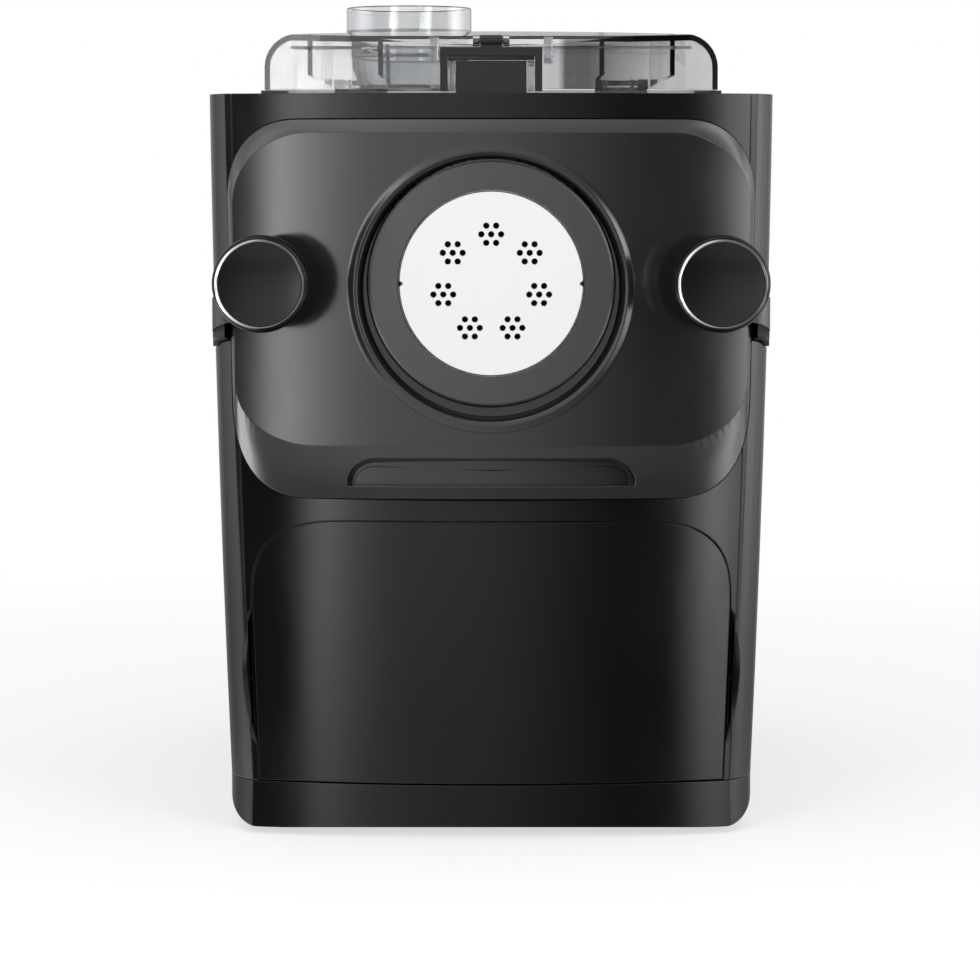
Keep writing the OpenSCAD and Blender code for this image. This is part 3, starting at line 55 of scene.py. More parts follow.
class Graph:
    """Shader nodes added one at a time to a material's or world's tree; every value is fixed."""

    def __init__(self, owner, output):
        owner.use_nodes = True
        self.tree = owner.node_tree
        self.tree.nodes.clear()
        self.out = self.add(output)
        self.coord = self.add("ShaderNodeTexCoord")

    def add(self, kind, props=None, **values):
        node = self.tree.nodes.new(kind)
        for key, value in (props or {}).items():
            setattr(node, key, value)
        for key, value in values.items():
            self.put(node, key.replace("_", " "), value)
        return node

    def put(self, node, key, value):
        if isinstance(key, int):
            socket = node.inputs[key]
        else:
            socket = next(s for s in node.inputs if s.name == key and s.enabled)
        if isinstance(value, bpy.types.NodeSocket):
            self.tree.links.new(value, socket)
        else:
            socket.default_value = value

    def place(self):
        """X, Y and Z of the place shaded, in the object's own space."""
        return self.add("ShaderNodeSeparateXYZ", Vector=self.coord.outputs["Object"]).outputs

    def turned(self, vector, kind):
        """A vector or normal of the object's own space, in the world's."""
        return self.add("ShaderNodeVectorTransform", {"vector_type": kind, "convert_from": "OBJECT",
                                                      "convert_to": "WORLD"}, Vector=vector).outputs[0]

    def mapped(self, scale, rotate=(0, 0, 0)):
        node = self.add("ShaderNodeMapping", Vector=self.coord.outputs["Object"])
        node.inputs["Scale"].default_value = scale
        node.inputs["Rotation"].default_value = rotate
        return node.outputs[0]

    def noise(self, scale, detail=2.0, rough=0.5, vector=None):
        node = self.add("ShaderNodeTexNoise", Scale=scale, Detail=detail, Roughness=rough)
        self.put(node, "Vector", vector or self.coord.outputs["Object"])
        return node.outputs["Factor" if "Factor" in node.outputs else "Fac"]

    def ramp(self, value, low, high, to_low=0.0, to_high=1.0, smooth=False):
        node = self.add("ShaderNodeMapRange", {"interpolation_type": "SMOOTHSTEP" if smooth else "LINEAR"})
        for i, v in enumerate((value, low, high, to_low, to_high)):
            self.put(node, i, v)
        return node.outputs[0]

    def math(self, operation, a, b=0.0, clamp=False):
        node = self.add("ShaderNodeMath", {"operation": operation, "use_clamp": clamp})
        self.put(node, 0, a)
        self.put(node, 1, b)
        return node.outputs[0]

    def mix(self, factor, a, b):
        node = self.add("ShaderNodeMix", {"data_type": "RGBA"})
        self.put(node, 0, factor)
        self.put(node, 6, a)
        self.put(node, 7, b)
        return node.outputs[2]

    def edge(self, radius):
        """1 on convex and concave edges within about the radius, 0 on open faces."""
        soft = self.add("ShaderNodeBevel", {"samples": 6}, Radius=radius)
        flat = self.add("ShaderNodeNewGeometry")
        dot = self.add("ShaderNodeVectorMath", {"operation": "DOT_PRODUCT"})
        self.put(dot, 0, soft.outputs[0])
        self.put(dot, 1, flat.outputs["Normal"])
        return self.ramp(dot.outputs["Value"], 0.99, 0.75)

    def bowed(self, normal, bow):
        """A normal leaned in proportion to its place: (lean on x, lean on z, middle x, middle z) per metre.

        A lean can be (low z, high z, lean there, lean there) instead of one value.
        """
        place = self.place()
        lean = self.add("ShaderNodeCombineXYZ")
        for k, mid, axis in ((bow[0], bow[2], "X"), (bow[1], bow[3], "Z")):
            k = self.ramp(place["Z"], *k) if isinstance(k, tuple) else k
            self.put(lean, axis, self.math("MULTIPLY", self.math("SUBTRACT", place[axis], mid), k))
        total = self.add("ShaderNodeVectorMath", {"operation": "ADD"})
        self.put(total, 0, normal)
        self.put(total, 1, self.turned(lean.outputs[0], "VECTOR"))
        return self.add("ShaderNodeVectorMath", {"operation": "NORMALIZE"}, Vector=total.outputs[0]).outputs[0]

    def from_axis(self, x, z):
        """Distance from a line along y through (x, z)."""
        place = self.place()
        across = self.math("SUBTRACT", place["X"], x)
        up = self.math("SUBTRACT", place["Z"], z)
        square = self.math("ADD", self.math("MULTIPLY", across, across), self.math("MULTIPLY", up, up))
        return self.math("SQRT", square)

    def bump(self, height, strength, distance, normal=None):
        node = self.add("ShaderNodeBump", Height=height, Strength=strength, Distance=distance)
        if normal is not None:
            self.put(node, "Normal", normal)
        return node.outputs[0]

    def most(self, *values):
        top = values[0]
        for value in values[1:]:
            top = self.math("MAXIMUM", top, value)
        return top

    def curve(self, value, low, high, stops):
        """A brightness read from straight lines between stops of (value, brightness)."""
        top = max(b for _, b in stops)
        node = self.add("ShaderNodeValToRGB")
        marks = node.color_ramp.elements
        while len(marks) < len(stops):
            marks.new(0.5)
        for mark, (at, bright) in zip(marks, stops):
            mark.position = (at - low) / (high - low)
            mark.color = rgb(bright / top, bright / top, bright / top)
        self.put(node, 0, self.ramp(value, low, high))
        return self.math("MULTIPLY", node.outputs[0], top)

    def finish(self, shader):
        self.tree.links.new(shader.outputs[0], self.out.inputs[0])


class Shader(Graph):
    """A material in the object's own space, whose place is the shared frame's."""

    def __init__(self, name):
        self.mat = bpy.data.materials.new(name)
        super().__init__(self.mat, "ShaderNodeOutputMaterial")

    def surface(self, **values):
        self.finish(self.add("ShaderNodeBsdfPrincipled", **values))


def rgb(*c):
    return (*c, 1.0)


def shade(c, k):
    return tuple(v * k for v in c[:3]) + (1.0,)


# ---- Materials -------------------------------------------------------------------------------


def floor_normal(s, normal, floor):
    """Normals of an upright drum on a hollow's bottom: (middle y, largest radius, low z, high z)."""
    middle, radius, low, high = floor
    place = s.place()
    out = s.add("ShaderNodeCombineXYZ", X=place["X"], Y=s.math("SUBTRACT", place["Y"], middle)).outputs[0]
    reach = s.add("ShaderNodeVectorMath", {"operation": "LENGTH"}, Vector=out).outputs["Value"]
    facing = s.add("ShaderNodeSeparateXYZ", Vector=s.add("ShaderNodeNewGeometry").outputs["True Normal"])
    deep = s.math("LESS_THAN", reach, radius)
    deep = s.math("MULTIPLY", deep, s.math("GREATER_THAN", place["Z"], low))
    deep = s.math("MULTIPLY", deep, s.math("LESS_THAN", place["Z"], high))
    deep = s.math("MULTIPLY", deep, s.math("LESS_THAN", facing.outputs["Y"], -0.6))
    return s.mix(deep, normal, s.turned(out, "NORMAL"))


def plastic(name, base, rough, grain=0.45, depth=0.02, spread=0.1, soft=0.5, edge_highlight=0.5, level=0.5, bow=None,
            bead=None, pits=(), floor=None):
    """Moulded plastic: fine spark texture, faint handling marks, edges smoother and painted lighter as a
    highlight.

    Grain, depth and soft, the edges' roundness, are in millimetres. A bow leans the normals, as bowed() says. A
    bead is a raised round (x, z, inner radius, outer radius, height), pits are dimples (x, z, radius) darkened
    with painted shade, and a floor is a hollow's curved bottom, as floor_normal() says.
    """
    s = Shader(name)
    cloud = s.noise(14.0, 4.0, 0.6)
    smear = s.noise(60.0, 3.0, 0.6, s.mapped((1, 1, 0.35)))
    cell = s.noise(1000.0 / grain, 2.0, 0.6)
    rim = s.edge(soft * MM)
    tone = s.mix(cloud, shade(base, 1 - spread), shade(base, 1 + spread))
    # Painted highlight: the colour lightened on the edges, by the share given for it
    tone = s.mix(s.math("MULTIPLY", rim, edge_highlight), tone, shade(base, 2.2))
    gloss = s.ramp(s.math("ADD", s.math("MULTIPLY", cloud, 0.5), s.math("MULTIPLY", smear, 0.5)), 0.35, 0.65,
                   rough + 0.035, rough - 0.035)
    gloss = s.math("SUBTRACT", gloss, s.math("MULTIPLY", rim, 0.1), clamp=True)
    normal = s.add("ShaderNodeBevel", {"samples": 6}, Radius=soft * MM).outputs[0]
    if floor:
        normal = floor_normal(s, normal, floor)
    if bow:
        normal = s.bowed(normal, bow)
    if bead:
        x, z, inner, outer, height = bead
        normal = s.bump(s.ramp(s.from_axis(x, z), outer, inner, smooth=True), 1.0, height, normal)
    for x, z, r in pits:
        hole = s.ramp(s.from_axis(x, z), r, r * 0.7, smooth=True)
        # Painted shade: the colour darkened in the dimples
        tone = s.mix(hole, tone, shade(base, 0.15))
        normal = s.bump(hole, -1.0, 0.3 * MM, normal)
    s.surface(Base_Color=tone, Roughness=gloss, Specular_IOR_Level=level,
              Normal=s.bump(cell, 0.35, depth * MM, normal))
    return s.mat


def clear(name, tint, dense, rough=0.015, painted_shade_zone=None):
    """Clear moulded plastic: darker where it is thick, with painted shade on its edges, faint flow waviness and
    hairline scuffs.

    The last argument is a zone at the front (low x, high x, share of light let through) painted darker with
    streaks, a painted shade.
    """
    s = Shader(name)
    wave = s.noise(38.0, 2.0, 0.5)
    hair = s.noise(420.0, 3.0, 0.7, s.mapped((1, 0.06, 1), (0, 0, 0.6)))
    scuff = s.ramp(hair, 0.62, 0.72)
    # Painted shade: the colour darkened along the edges
    tone = s.mix(s.edge(0.8 * MM), tint, shade(tint, 0.45))
    # Painted shade with streaks in the zone at the front
    if painted_shade_zone:
        low, high, share = painted_shade_zone
        place, fade = s.place(), 3 * MM
        shade_streak = s.ramp(s.noise(90.0, 3.0, 0.6, s.mapped((0.05, 0.05, 1.6))), 0.35, 0.65, 0.7, 1.15)
        zone = s.math("MULTIPLY", s.ramp(place["X"], low, low + fade), s.ramp(place["X"], high, high - fade))
        zone = s.math("MULTIPLY", zone, s.ramp(place["Y"], -0.128, -0.134))
        tone = s.mix(zone, tone, s.mix(shade_streak, rgb(0, 0, 0), shade(tint, share)))
    s.surface(Base_Color=tone, Roughness=s.ramp(scuff, 0, 1, rough, rough + 0.1), IOR=1.5,
              Transmission_Weight=1.0, Normal=s.bump(wave, 0.25, 0.15 * MM))
    inside = s.add("ShaderNodeVolumeAbsorption", Color=rgb(0.5, 0.5, 0.5), Density=dense)
    s.tree.links.new(inside.outputs[0], s.out.inputs["Volume"])
    return s.mat


def metal(name, base, rough, stretch, grain=500.0, depth=0.01, aniso=0.0, spread=0.1, side=None):
    """Metal with grain drawn out along one axis; stretch is the texture's scale on X, Y and Z.

    A side is (middle x, half width, stops of (place from -1 to 1, share)): a painted reflection, the ring's colour
    scaled from left to right across it as the light falls.
    """
    s = Shader(name)
    brush = s.noise(grain, 3.0, 0.65, s.mapped(stretch))
    cloud = s.noise(22.0, 3.0, 0.6)
    rim = s.edge(0.4 * MM)
    tone = s.mix(brush, shade(base, 1 - spread), shade(base, 1 + spread))
    # Painted highlight: the colour lightened on the edges
    tone = s.mix(s.math("MULTIPLY", rim, 0.5), tone, shade(base, 1.25))
    # Painted reflection: the colour scaled across the ring, lighter on the side the light falls on
    if side:
        middle, half, painted_light_shares = side
        across = s.math("DIVIDE", s.math("SUBTRACT", s.place()["X"], middle), half)
        tone = s.mix(s.curve(across, -1, 1, painted_light_shares), rgb(0, 0, 0), tone)
    gloss = s.math("ADD", s.ramp(brush, 0.3, 0.7, rough - 0.06, rough + 0.06),
                   s.ramp(cloud, 0.3, 0.7, -0.03, 0.03))
    soft_normal = s.add("ShaderNodeBevel", {"samples": 6}, Radius=0.35 * MM)
    s.surface(Base_Color=tone, Roughness=gloss, Metallic=1.0, Anisotropic=aniso,
              Normal=s.bump(brush, 0.3, depth * MM, soft_normal.outputs[0]))
    return s.mat


def cast(name, base, rough):
    """Die-cast alloy: sand-like skin with a few smoother flow patches."""
    s = Shader(name)
    skin = s.noise(900.0, 4.0, 0.7)
    flow = s.noise(45.0, 3.0, 0.6)
    rim = s.edge(0.6 * MM)
    tone = s.mix(flow, shade(base, 0.86), shade(base, 1.1))
    # Painted highlight: the colour lightened on the edges
    tone = s.mix(s.math("MULTIPLY", rim, 0.6), tone, shade(base, 1.35))
    soft_normal = s.add("ShaderNodeBevel", {"samples": 6}, Radius=0.6 * MM)
    s.surface(Base_Color=tone, Roughness=s.ramp(flow, 0.3, 0.7, rough - 0.08, rough + 0.08), Metallic=0.9,
              Normal=s.bump(skin, 0.5, 0.06 * MM, soft_normal.outputs[0]))
    return s.mat


def board(name):
    """Lacquered circuit board: fine copper tracks under a green mask."""
    s = Shader(name)
    grid = s.add("ShaderNodeTexBrick", {"offset": 0.5, "squash": 1.0}, Scale=140.0, Mortar_Size=0.09,
                 Mortar_Smooth=0.2, Vector=s.coord.outputs["Object"])
    grid.inputs["Color1"].default_value = rgb(0.018, 0.12, 0.045)
    grid.inputs["Color2"].default_value = rgb(0.024, 0.15, 0.055)
    grid.inputs["Mortar"].default_value = rgb(0.05, 0.24, 0.09)
    s.surface(Base_Color=grid.outputs["Color"], Roughness=s.ramp(s.noise(80.0), 0.3, 0.7, 0.24, 0.38),
              Normal=s.bump(grid.outputs[1], 0.3, 0.03 * MM))
    return s.mat


MATERIALS = {
    "housing_black": plastic("housing_black", (0.004, 0.004, 0.0042), 0.18, level=0.26),
    "panel_grey": plastic("panel_grey", (0.0155, 0.0155, 0.016), 0.12, soft=0.6,
                          bead=(0.0, DISH_Z, 0.0555, 0.0602, 0.0006),
                          floor=(FRONT_MID_Y, 0.4022, 0.1508, 0.1616)),
    "ring_grey": plastic("ring_grey", (0.031, 0.031, 0.033), 0.38, grain=0.4, depth=0.03, soft=0.5,
                         bow=(2.8, 0.5, 0.03, AXIS_Z)),
    "disc_white": plastic("disc_white", (0.86, 0.86, 0.85), 0.45, depth=0.012, spread=0.015, soft=0.35,
                          edge_highlight=0.0, pits=((-PIT_X, AXIS_Z, 0.0009), (PIT_X, AXIS_Z, 0.0009))),
    "clear_plastic": clear("clear_plastic", rgb(0.80, 0.81, 0.82), 90.0),
    "knob_black": plastic("knob_black", (0.003, 0.003, 0.0032), 0.24, grain=0.6, depth=0.006, soft=0.5,
                          level=0.1),
    "latch_black": plastic("latch_black", (0.005, 0.005, 0.0052), 0.24, grain=0.6, depth=0.006, soft=0.4,
                           level=0.35),
    "window_black": plastic("window_black", (0.006, 0.006, 0.007), 0.08, grain=2.0, depth=0.001, soft=0.3),
    "button_white": plastic("button_white", (0.72, 0.72, 0.73), 0.38, spread=0.02, soft=0.4, edge_highlight=0.0),
    "brushed_steel": metal("brushed_steel", (0.060, 0.061, 0.063), 0.34, (1, 0.04, 1), 900.0, 0.02, aniso=0.5),
    "bare_steel": metal("bare_steel", (0.50, 0.51, 0.52), 0.3, (1, 0.15, 1), 700.0, 0.015),
    "cast_alloy": cast("cast_alloy", (0.42, 0.43, 0.45), 0.5),
    "gear_nylon": plastic("gear_nylon", (0.66, 0.63, 0.55), 0.48, spread=0.03, soft=0.4, edge_highlight=0.2),
    "bronze": metal("bronze", (0.55, 0.36, 0.17), 0.42, (1, 1, 1), 900.0, 0.03),
    "rubber_black": plastic("rubber_black", (0.014, 0.014, 0.014), 0.72, grain=0.8, depth=0.06, soft=0.6,
                            level=0.3),
    "tray_grey": plastic("tray_grey", (0.075, 0.075, 0.078), 0.45, soft=0.5),
    "board_green": board("board_green"),
    # Near-black stand-in for the shade in gaps: painted shade
    "shadow_gap_black": plastic("shadow_gap_black", (0.0008, 0.0008, 0.0008), 0.8, grain=0.8, level=0.05),
    "stirrer_grey": plastic("stirrer_grey", (0.07, 0.07, 0.074), 0.46, grain=0.7, depth=0.03, soft=0.6),
}
# Painted reflection on the knob trims: shares of the ring's colour from its left to its right
RING_PAINTED_LIGHT = [(-1, 1.0), (-0.8, 1.0), (-0.45, 0.5), (0, 0.2), (0.6, 0.1), (1, 0.12)]
RING_HALF = 0.0185


def knob_cap(name, x):
    return plastic(name, (0.004, 0.004, 0.0042), 0.20, grain=0.6, depth=0.006, soft=0.5, level=0.26,
                   bow=(-11.0, -11.0, x, KNOB_Z))


def knob_ring(name, x):
    return metal(name, (0.80, 0.80, 0.81), 0.1, (1, 1, 1), 700.0, 0.003, spread=0.03,
                 side=(x, RING_HALF, RING_PAINTED_LIGHT))


HOUSING_FRONT = plastic("housing_front", (0.004, 0.004, 0.0042), 0.13, level=0.26,
                        bow=((0.18, 0.29, 0.55, 0.1), 0.0, 0.0, 0.0))
# The lid, with a painted shade in a zone at its front
LID_CLEAR = clear("lid_clear", rgb(0.78, 0.79, 0.80), 90.0, painted_shade_zone=(0.028, 0.075, 0.10))
# Nodes with a material of their own instead of their slot's
FITTED = {
    "front_fascia": HOUSING_FRONT,
    "drawer_front": HOUSING_FRONT,
    "base_tray": HOUSING_FRONT,
    "lid": LID_CLEAR,
    "left_knob_trim": knob_ring("trim_left", -KNOB_X),
    "right_knob_trim": knob_ring("trim_right", KNOB_X),
    "left_knob_cap": knob_cap("knob_cap_left", -KNOB_X),
    "right_knob_cap": knob_cap("knob_cap_right", KNOB_X),
}
for row in frame["record"]["subparts"]:
    mesh = NODES[row["node"]].data
    mesh.materials.clear()
    mesh.materials.append(FITTED.get(row["node"]) or MATERIALS[row["material_slot"]])


def smooth_normals(node, limit, drums=()):
    """Shades facets smooth across edges flatter than the limit; faces on a drum take its true normals.

    Each drum is an upright cylinder that some faces lie on: its radius, how far off it a face may lie, and the
    heights the faces are between. On a closely fitted drum only upright faces count.
    """
    mesh = NODES[node].data
    # Corners within a micrometre of each other meet
    places = [tuple(round(c * 1e6) for c in v.co) for v in mesh.vertices]
    meet = {}
    lying = set()
    for poly in mesh.polygons:
        spots = [mesh.vertices[v].co for v in poly.vertices]
        for radius, off, low, high in drums:
            steepest = 0.02 if off < 1e-4 else 1.0
            if abs(poly.normal.z) < steepest and low < poly.center.z < high and all(
                    abs(math.hypot(c.x, c.y - FRONT_MID_Y) - radius) < off for c in spots):
                lying.add(poly.index)
        for v in poly.vertices:
            if poly.index not in lying:
                meet.setdefault(places[v], set()).add(poly.index)
    faces = [(p.normal.copy(), p.area) for p in mesh.polygons]
    limit = math.cos(math.radians(limit))
    normals = []
    for poly in mesh.polygons:
        own = faces[poly.index][0]
        for v in poly.vertices:
            at = mesh.vertices[v].co
            if poly.index in lying:
                total = Vector((at.x, at.y - FRONT_MID_Y, 0.0))
            else:
                near = (faces[i] for i in meet[places[v]] if own.dot(faces[i][0]) > limit)
                total = sum((normal * area for normal, area in near), Vector())
            normals.append(tuple(total.normalized()) if total.length > 0 else tuple(own))
    mesh.shade_smooth()
    mesh.normals_split_custom_set(normals)


smooth_normals("front_panel", 24, [(PANEL_R, 2e-5, 0, 1), (GRIP_R, 6e-4, 0.1505, 0.1618)])
smooth_normals("auger_screw", 35)
smooth_normals("base_tray", 12, [(FASCIA_R, 4e-4, 0, 0.02)])


# ---- Small trim pieces -----------------------------------------------------------------------


def piece(name, form, material, body):
    """Object made from a bmesh form, which moves with a body."""
    mesh = bpy.data.meshes.new(name)
    form.to_mesh(mesh)
    form.free()
    mesh.shade_smooth()
    mesh.materials.append(material)
    ob = bpy.data.objects.new(name, mesh)
    bpy.context.scene.collection.objects.link(ob)
    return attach(ob, body)


def rounded(name, low, high, radius, material, body):
    """Block between two corners in millimetres, with round edges."""
    form = bmesh.new()
    bmesh.ops.create_cube(form, size=1.0)
    for v in form.verts:
        v.co = [(low[i] + (v.co[i] + 0.5) * (high[i] - low[i])) * MM for i in range(3)]
    bmesh.ops.bevel(form, geom=form.edges[:], offset=radius * MM, segments=4, profile=0.5, affect="EDGES")
    return piece(name, form, material, body)


def closed_tube(name, rings, material, body):
    """Tube through closed rings of points in metres, the last joined to the first."""
    form = bmesh.new()
    rings = [[form.verts.new(at) for at in ring] for ring in rings]
    for one, two in zip(rings, rings[1:] + rings[:1]):
        for j in range(len(one)):
            k = (j + 1) % len(one)
            form.faces.new((one[j], two[j], two[k], one[k]))
    bmesh.ops.recalc_face_normals(form, faces=form.faces[:])
    return piece(name, form, material, body)


def hoop(name, middle, radius, thick, material, body, around=160, section=12):
    """Round ring of round section about a line along y, in millimetres."""
    rings = []
    for i in range(around):
        a = 2 * math.pi * i / around
        ring = []
        for j in range(section):
            b = 2 * math.pi * j / section
            r = radius + thick * math.cos(b)
            ring.append(((middle[0] + r * math.cos(a)) * MM, (middle[1] + thick * math.sin(b)) * MM,
                         (middle[2] + r * math.sin(a)) * MM))
        rings.append(ring)
    return closed_tube(name, rings, material, body)


def cord_round(name, path, thick, material, body, section=8):
    """Closed cord of round section, its radius in millimetres, along a path of points in metres."""
    rings = []
    for i, at in enumerate(path):
        along = (path[(i + 1) % len(path)] - path[i - 1]).normalized()
        out = along.cross(Vector((0, 1, 0))).normalized()
        over = along.cross(out)
        turns = [2 * math.pi * j / section for j in range(section)]
        rings.append([at + (out * math.cos(a) + over * math.sin(a)) * thick * MM for a in turns])
    return closed_tube(name, rings, material, body)


def panel_outline():
    """The front panel's outline seen from the front: the convex hull of its vertices, as points on y = 0."""
    spots = sorted({(round(v.co.x, 5), round(v.co.z, 5)) for v in NODES["front_panel"].data.vertices})
    outline = []
    for order in (spots, spots[::-1]):
        chain = []
        for x, z in order:
            while len(chain) > 1 and ((chain[-1][0] - chain[-2][0]) * (z - chain[-2][1])
                                      <= (chain[-1][1] - chain[-2][1]) * (x - chain[-2][0])):
                chain.pop()
            chain.append((x, z))
        outline += [Vector((x, 0, z)) for x, z in chain[:-1]]
    return outline


def panel_foot(outside=0.25, lower=0.8, step=0.003, shortest=0.0004):
    """Closed path on the fascia round the front panel, for the dark cord that stands in for the shadow at its
    edge.

    It runs outside the outline by a distance in millimetres, and lower by a further one under the panel. Steps
    and the shortest side followed are in metres.
    """
    path = []
    outline = panel_outline()
    for i, end in enumerate(outline):
        start = outline[i - 1]
        length = (end - start).length
        steps = max(1, round(length / step)) if length > shortest else 0
        for k in range(steps):
            at = start.lerp(end, (k + 1) / steps)
            out = Vector((at.x, 0, at.z - DISH_Z)).normalized()
            at += out * (outside + max(0.0, -out.z) * lower) * MM
            at.y = FRONT_MID_Y - math.sqrt(FASCIA_R ** 2 - at.x ** 2)
            path.append(at)
    return path


SMOKED = clear("smoked_strip", rgb(0.62, 0.62, 0.63), 60.0)
# Dark cord round the front panel: painted shade standing in for the shadow gap at its edge
cord_round("panel_shadow_line", panel_foot(), 0.5, MATERIALS["shadow_gap_black"], "housing")
rounded("lid_rail", (-84.0, -133.4, 332.9), (84.0, -132.2, 334.1), 0.4, SMOKED, "lid")
# Dark hoop round the shaping disc: painted shade standing in for the shadow in its gap
hoop("disc_shadow_line", (0, -155.6, 235.5), 38.05, 0.32, MATERIALS["shadow_gap_black"], "housing")
# Black plate filling the gap under the latch's slab: painted shade standing in for the dark gap there
rounded("latch_shadow_plate", (-18.0, -140.2, 328.15), (18.0, -137.0, 329.9), 0.25, MATERIALS["latch_black"], "latch")
for side in (-1, 1):
    word = "left" if side < 0 else "right"
    near, far = sorted((side * 15.1, side * 17.9))
    rounded("latch_strip_" + word, (near, -139.4, 315.6), (far, -137.2, 327.9), 0.4, SMOKED, "housing")
    near, far = sorted((side * 21.8, side * 25.8))
    rounded("latch_lug_" + word, (near, -139.8, 326.5), (far, -136.1, 338.0), 0.9, LID_CLEAR, "lid")


# ---- Studio ----------------------------------------------------------------------------------


def floor_material():
    """White to the camera and to glass, with the object's soft shadow on it."""
    s = Shader("floor")
    path = s.add("ShaderNodeLightPath")
    reach = s.add("ShaderNodeVectorMath", {"operation": "LENGTH"}, Vector=s.coord.outputs["Object"])
    far = s.ramp(reach.outputs["Value"], 0.45, 0.9, smooth=True)
    seen = s.most(path.outputs["Is Camera Ray"], path.outputs["Is Transmission Ray"])
    lift = s.math("MULTIPLY", seen, s.ramp(far, 0, 1, 0.62, 1.0))
    grain = s.noise(220.0, 3.0, 0.6)
    base = s.mix(grain, rgb(0.40, 0.40, 0.40), rgb(0.42, 0.42, 0.42))
    matt = s.add("ShaderNodeBsdfDiffuse", Color=s.mix(far, base, rgb(0, 0, 0)))
    glow = s.add("ShaderNodeEmission", Color=rgb(1, 1, 1), Strength=lift)
    both = s.add("ShaderNodeAddShader")
    s.put(both, 0, matt.outputs[0])
    s.put(both, 1, glow.outputs[0])
    s.finish(both)
    return s.mat


bpy.ops.mesh.primitive_circle_add(vertices=128, radius=1.6, fill_type="NGON")
floor = bpy.context.object
floor.name = "floor"
floor.data.materials.append(floor_material())
floor.visible_glossy = False

# Brightness that gloss sees at a height, by azimuth in degrees: 0 in front, positive to the right
HORIZON = [(-180, 0.5), (-131, 0.55), (-122, 1.0), (-112, 1.6), (-103, 2.5), (-92, 2.0), (-62, 0.12), (-42, 0.08),
           (-33.1, 0.1), (-31.5, 1.0), (-29.8, 5.2), (-28, 7.0), (-25.5, 4.8), (-22.1, 3.1), (-18.7, 2.05),
           (-15.3, 1.6), (0, 1.25), (9, 0.72), (20, 0.1), (29.3, 0.08), (31, 0.7), (33, 2.6), (35, 6.8), (38, 9.0),
           (41, 3.0), (46, 0.6), (75, 0.5), (93, 5.0), (103, 4.6), (122, 1.7), (141, 0.56), (180, 0.5)]
LOW = [(-180, 0.5), (-120, 2.5), (-95, 8.0), (-72, 9.5), (-62, 3.8), (-54, 1.3), (-46, 0.95), (-33, 1.0),
       (-15, 1.45), (-6, 1.3), (10, 0.8), (22, 0.5), (32, 0.45), (38, 0.7), (44, 1.3), (50, 3.0), (58, 5.2),
       (66, 5.6), (75, 4.3), (90, 2.7), (116, 1.7), (180, 0.5)]
HIGH = [(-180, 0.6), (-120, 1.0), (-95, 1.6), (-80, 2.7), (-68, 2.7), (-54, 1.6), (0, 1.3), (55, 1.2), (66, 1.0),
        (80, 2.2), (94, 4.2), (106, 1.5), (140, 0.8), (180, 0.6)]
# Overhead, by how far the direction leans to the right
OVERHEAD = [(-1.0, 1.2), (-0.4, 2.1), (-0.2, 2.2), (0, 1.35), (0.2, 0.85), (0.4, 1.2), (1.0, 1.2)]
# Shares of the first three at a height, by the sine of the angle over the horizon
AT_HORIZON = [(-0.4, 0.0), (-0.3, 0.12), (-0.2, 0.28), (-0.165, 0.42), (-0.13, 0.68), (-0.09, 0.88), (0, 1.0),
              (0.1, 1.1), (0.25, 0.8), (0.4, 0.0)]
AT_LOW = [(-1.0, 0.3), (-0.7, 0.35), (-0.57, 0.45), (-0.5, 0.75), (-0.4, 1.0), (-0.3, 0.95), (-0.2, 0.12),
          (-0.14, 0.0)]
AT_HIGH = [(0.1, 0.0), (0.25, 0.3), (0.4, 1.0), (0.8, 1.0), (0.95, 0.0)]


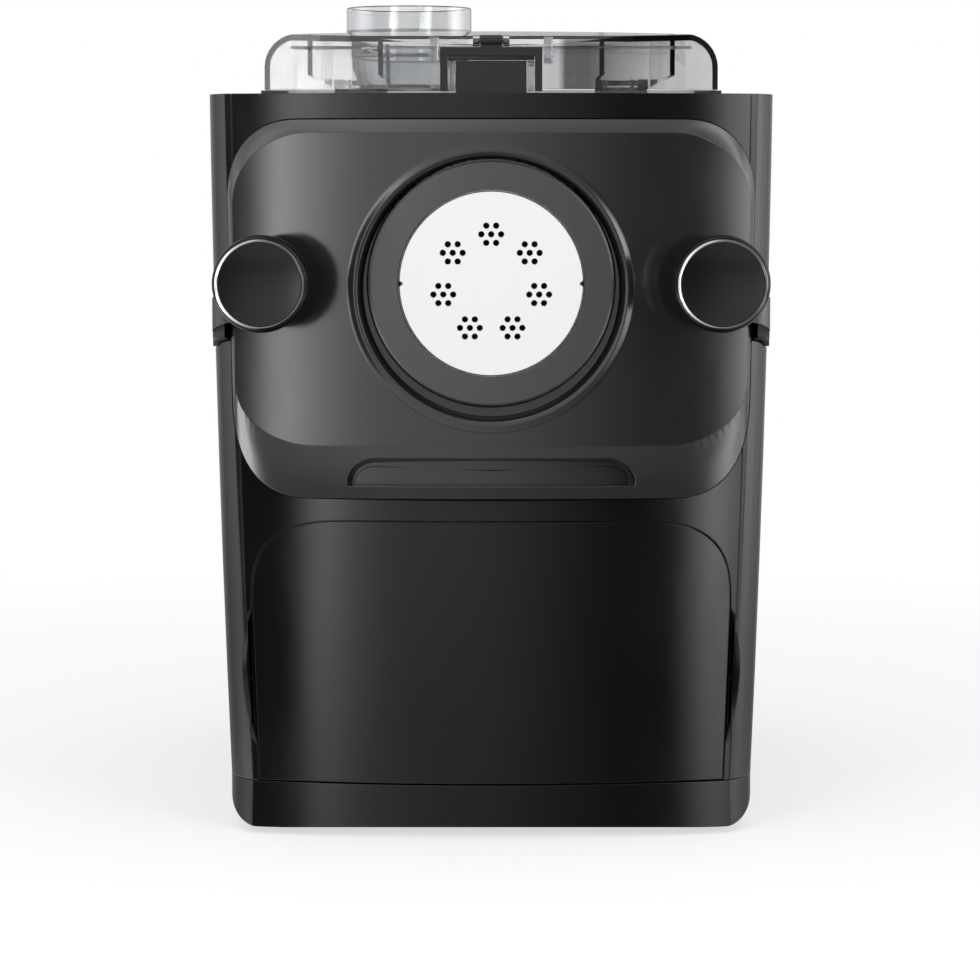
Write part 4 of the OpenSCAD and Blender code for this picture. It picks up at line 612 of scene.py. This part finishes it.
def studio_world():
    """White to the camera and to glass; gloss sees tall soft boxes in front, at the sides and overhead."""
    world = bpy.data.worlds.new("studio")
    bpy.context.scene.world = world
    w = Graph(world, "ShaderNodeOutputWorld")
    path = w.add("ShaderNodeLightPath")
    way = w.add("ShaderNodeSeparateXYZ", Vector=w.coord.outputs["Generated"])
    around = w.math("ARCTAN2", way.outputs["X"], w.math("MULTIPLY", way.outputs["Y"], -1.0))
    around = w.math("MULTIPLY", around, 180 / math.pi)
    room = w.math("MULTIPLY", w.curve(way.outputs["X"], -1, 1, OVERHEAD), w.ramp(way.outputs["Z"], 0.8, 0.95))
    for ring, share in ((HORIZON, AT_HORIZON), (LOW, AT_LOW), (HIGH, AT_HIGH)):
        part = w.math("MULTIPLY", w.curve(around, -180, 180, ring), w.curve(way.outputs["Z"], -1, 1, share))
        room = w.math("ADD", room, part)
    total = w.most(path.outputs["Is Camera Ray"], path.outputs["Is Transmission Ray"],
                   w.math("MULTIPLY", path.outputs["Is Glossy Ray"], room),
                   w.math("MULTIPLY", path.outputs["Is Diffuse Ray"], 0.6))
    w.finish(w.add("ShaderNodeBackground", Color=rgb(1, 1, 1), Strength=total))


studio_world()


def lamp(name, azimuth, distance, height, size, tall, radiance, aim=(0, 0, 0.2)):
    """Soft box at an azimuth seen from above, in degrees, 0 in front of the machine and positive to its right."""
    data = bpy.data.lights.new(name, "AREA")
    data.shape = "RECTANGLE"
    data.size, data.size_y = size, tall
    data.energy = radiance * size * tall * math.pi
    ob = bpy.data.objects.new(name, data)
    a = math.radians(azimuth)
    ob.location = (math.sin(a) * distance, -math.cos(a) * distance, height)
    ob.rotation_mode = "QUATERNION"
    ob.rotation_quaternion = (Vector(aim) - ob.location).to_track_quat("-Z", "Y")
    ob.visible_glossy = False
    bpy.context.scene.collection.objects.link(ob)


lamp("softbox_left", -28, 1.9, 0.45, 0.5, 1.5, 5.9)
lamp("softbox_right", 36, 1.9, 0.45, 0.5, 1.5, 5.1)
lamp("softbox_top", 0, 0.35, 1.7, 1.3, 1.0, 1.8)


# ---- Camera ----------------------------------------------------------------------------------

# The photograph's camera: focal length and picture width in pixels, tilt down in degrees
SENSOR_MM = 36.0
FOCAL_PX, IMAGE_PX = 3467, 980
TILT = 5.109

lens = bpy.data.cameras.new("camera")
lens.sensor_width = SENSOR_MM
lens.lens = SENSOR_MM * FOCAL_PX / IMAGE_PX
lens.clip_start, lens.clip_end = 0.05, 50.0
camera = bpy.data.objects.new("camera", lens)
camera.location = (-0.0005, -1.595, 0.2783)
camera.rotation_euler = (math.radians(90 - TILT), 0, 0)
bpy.context.scene.collection.objects.link(camera)
bpy.context.scene.camera = camera
bpy.context.scene.view_settings.view_transform = "Standard"
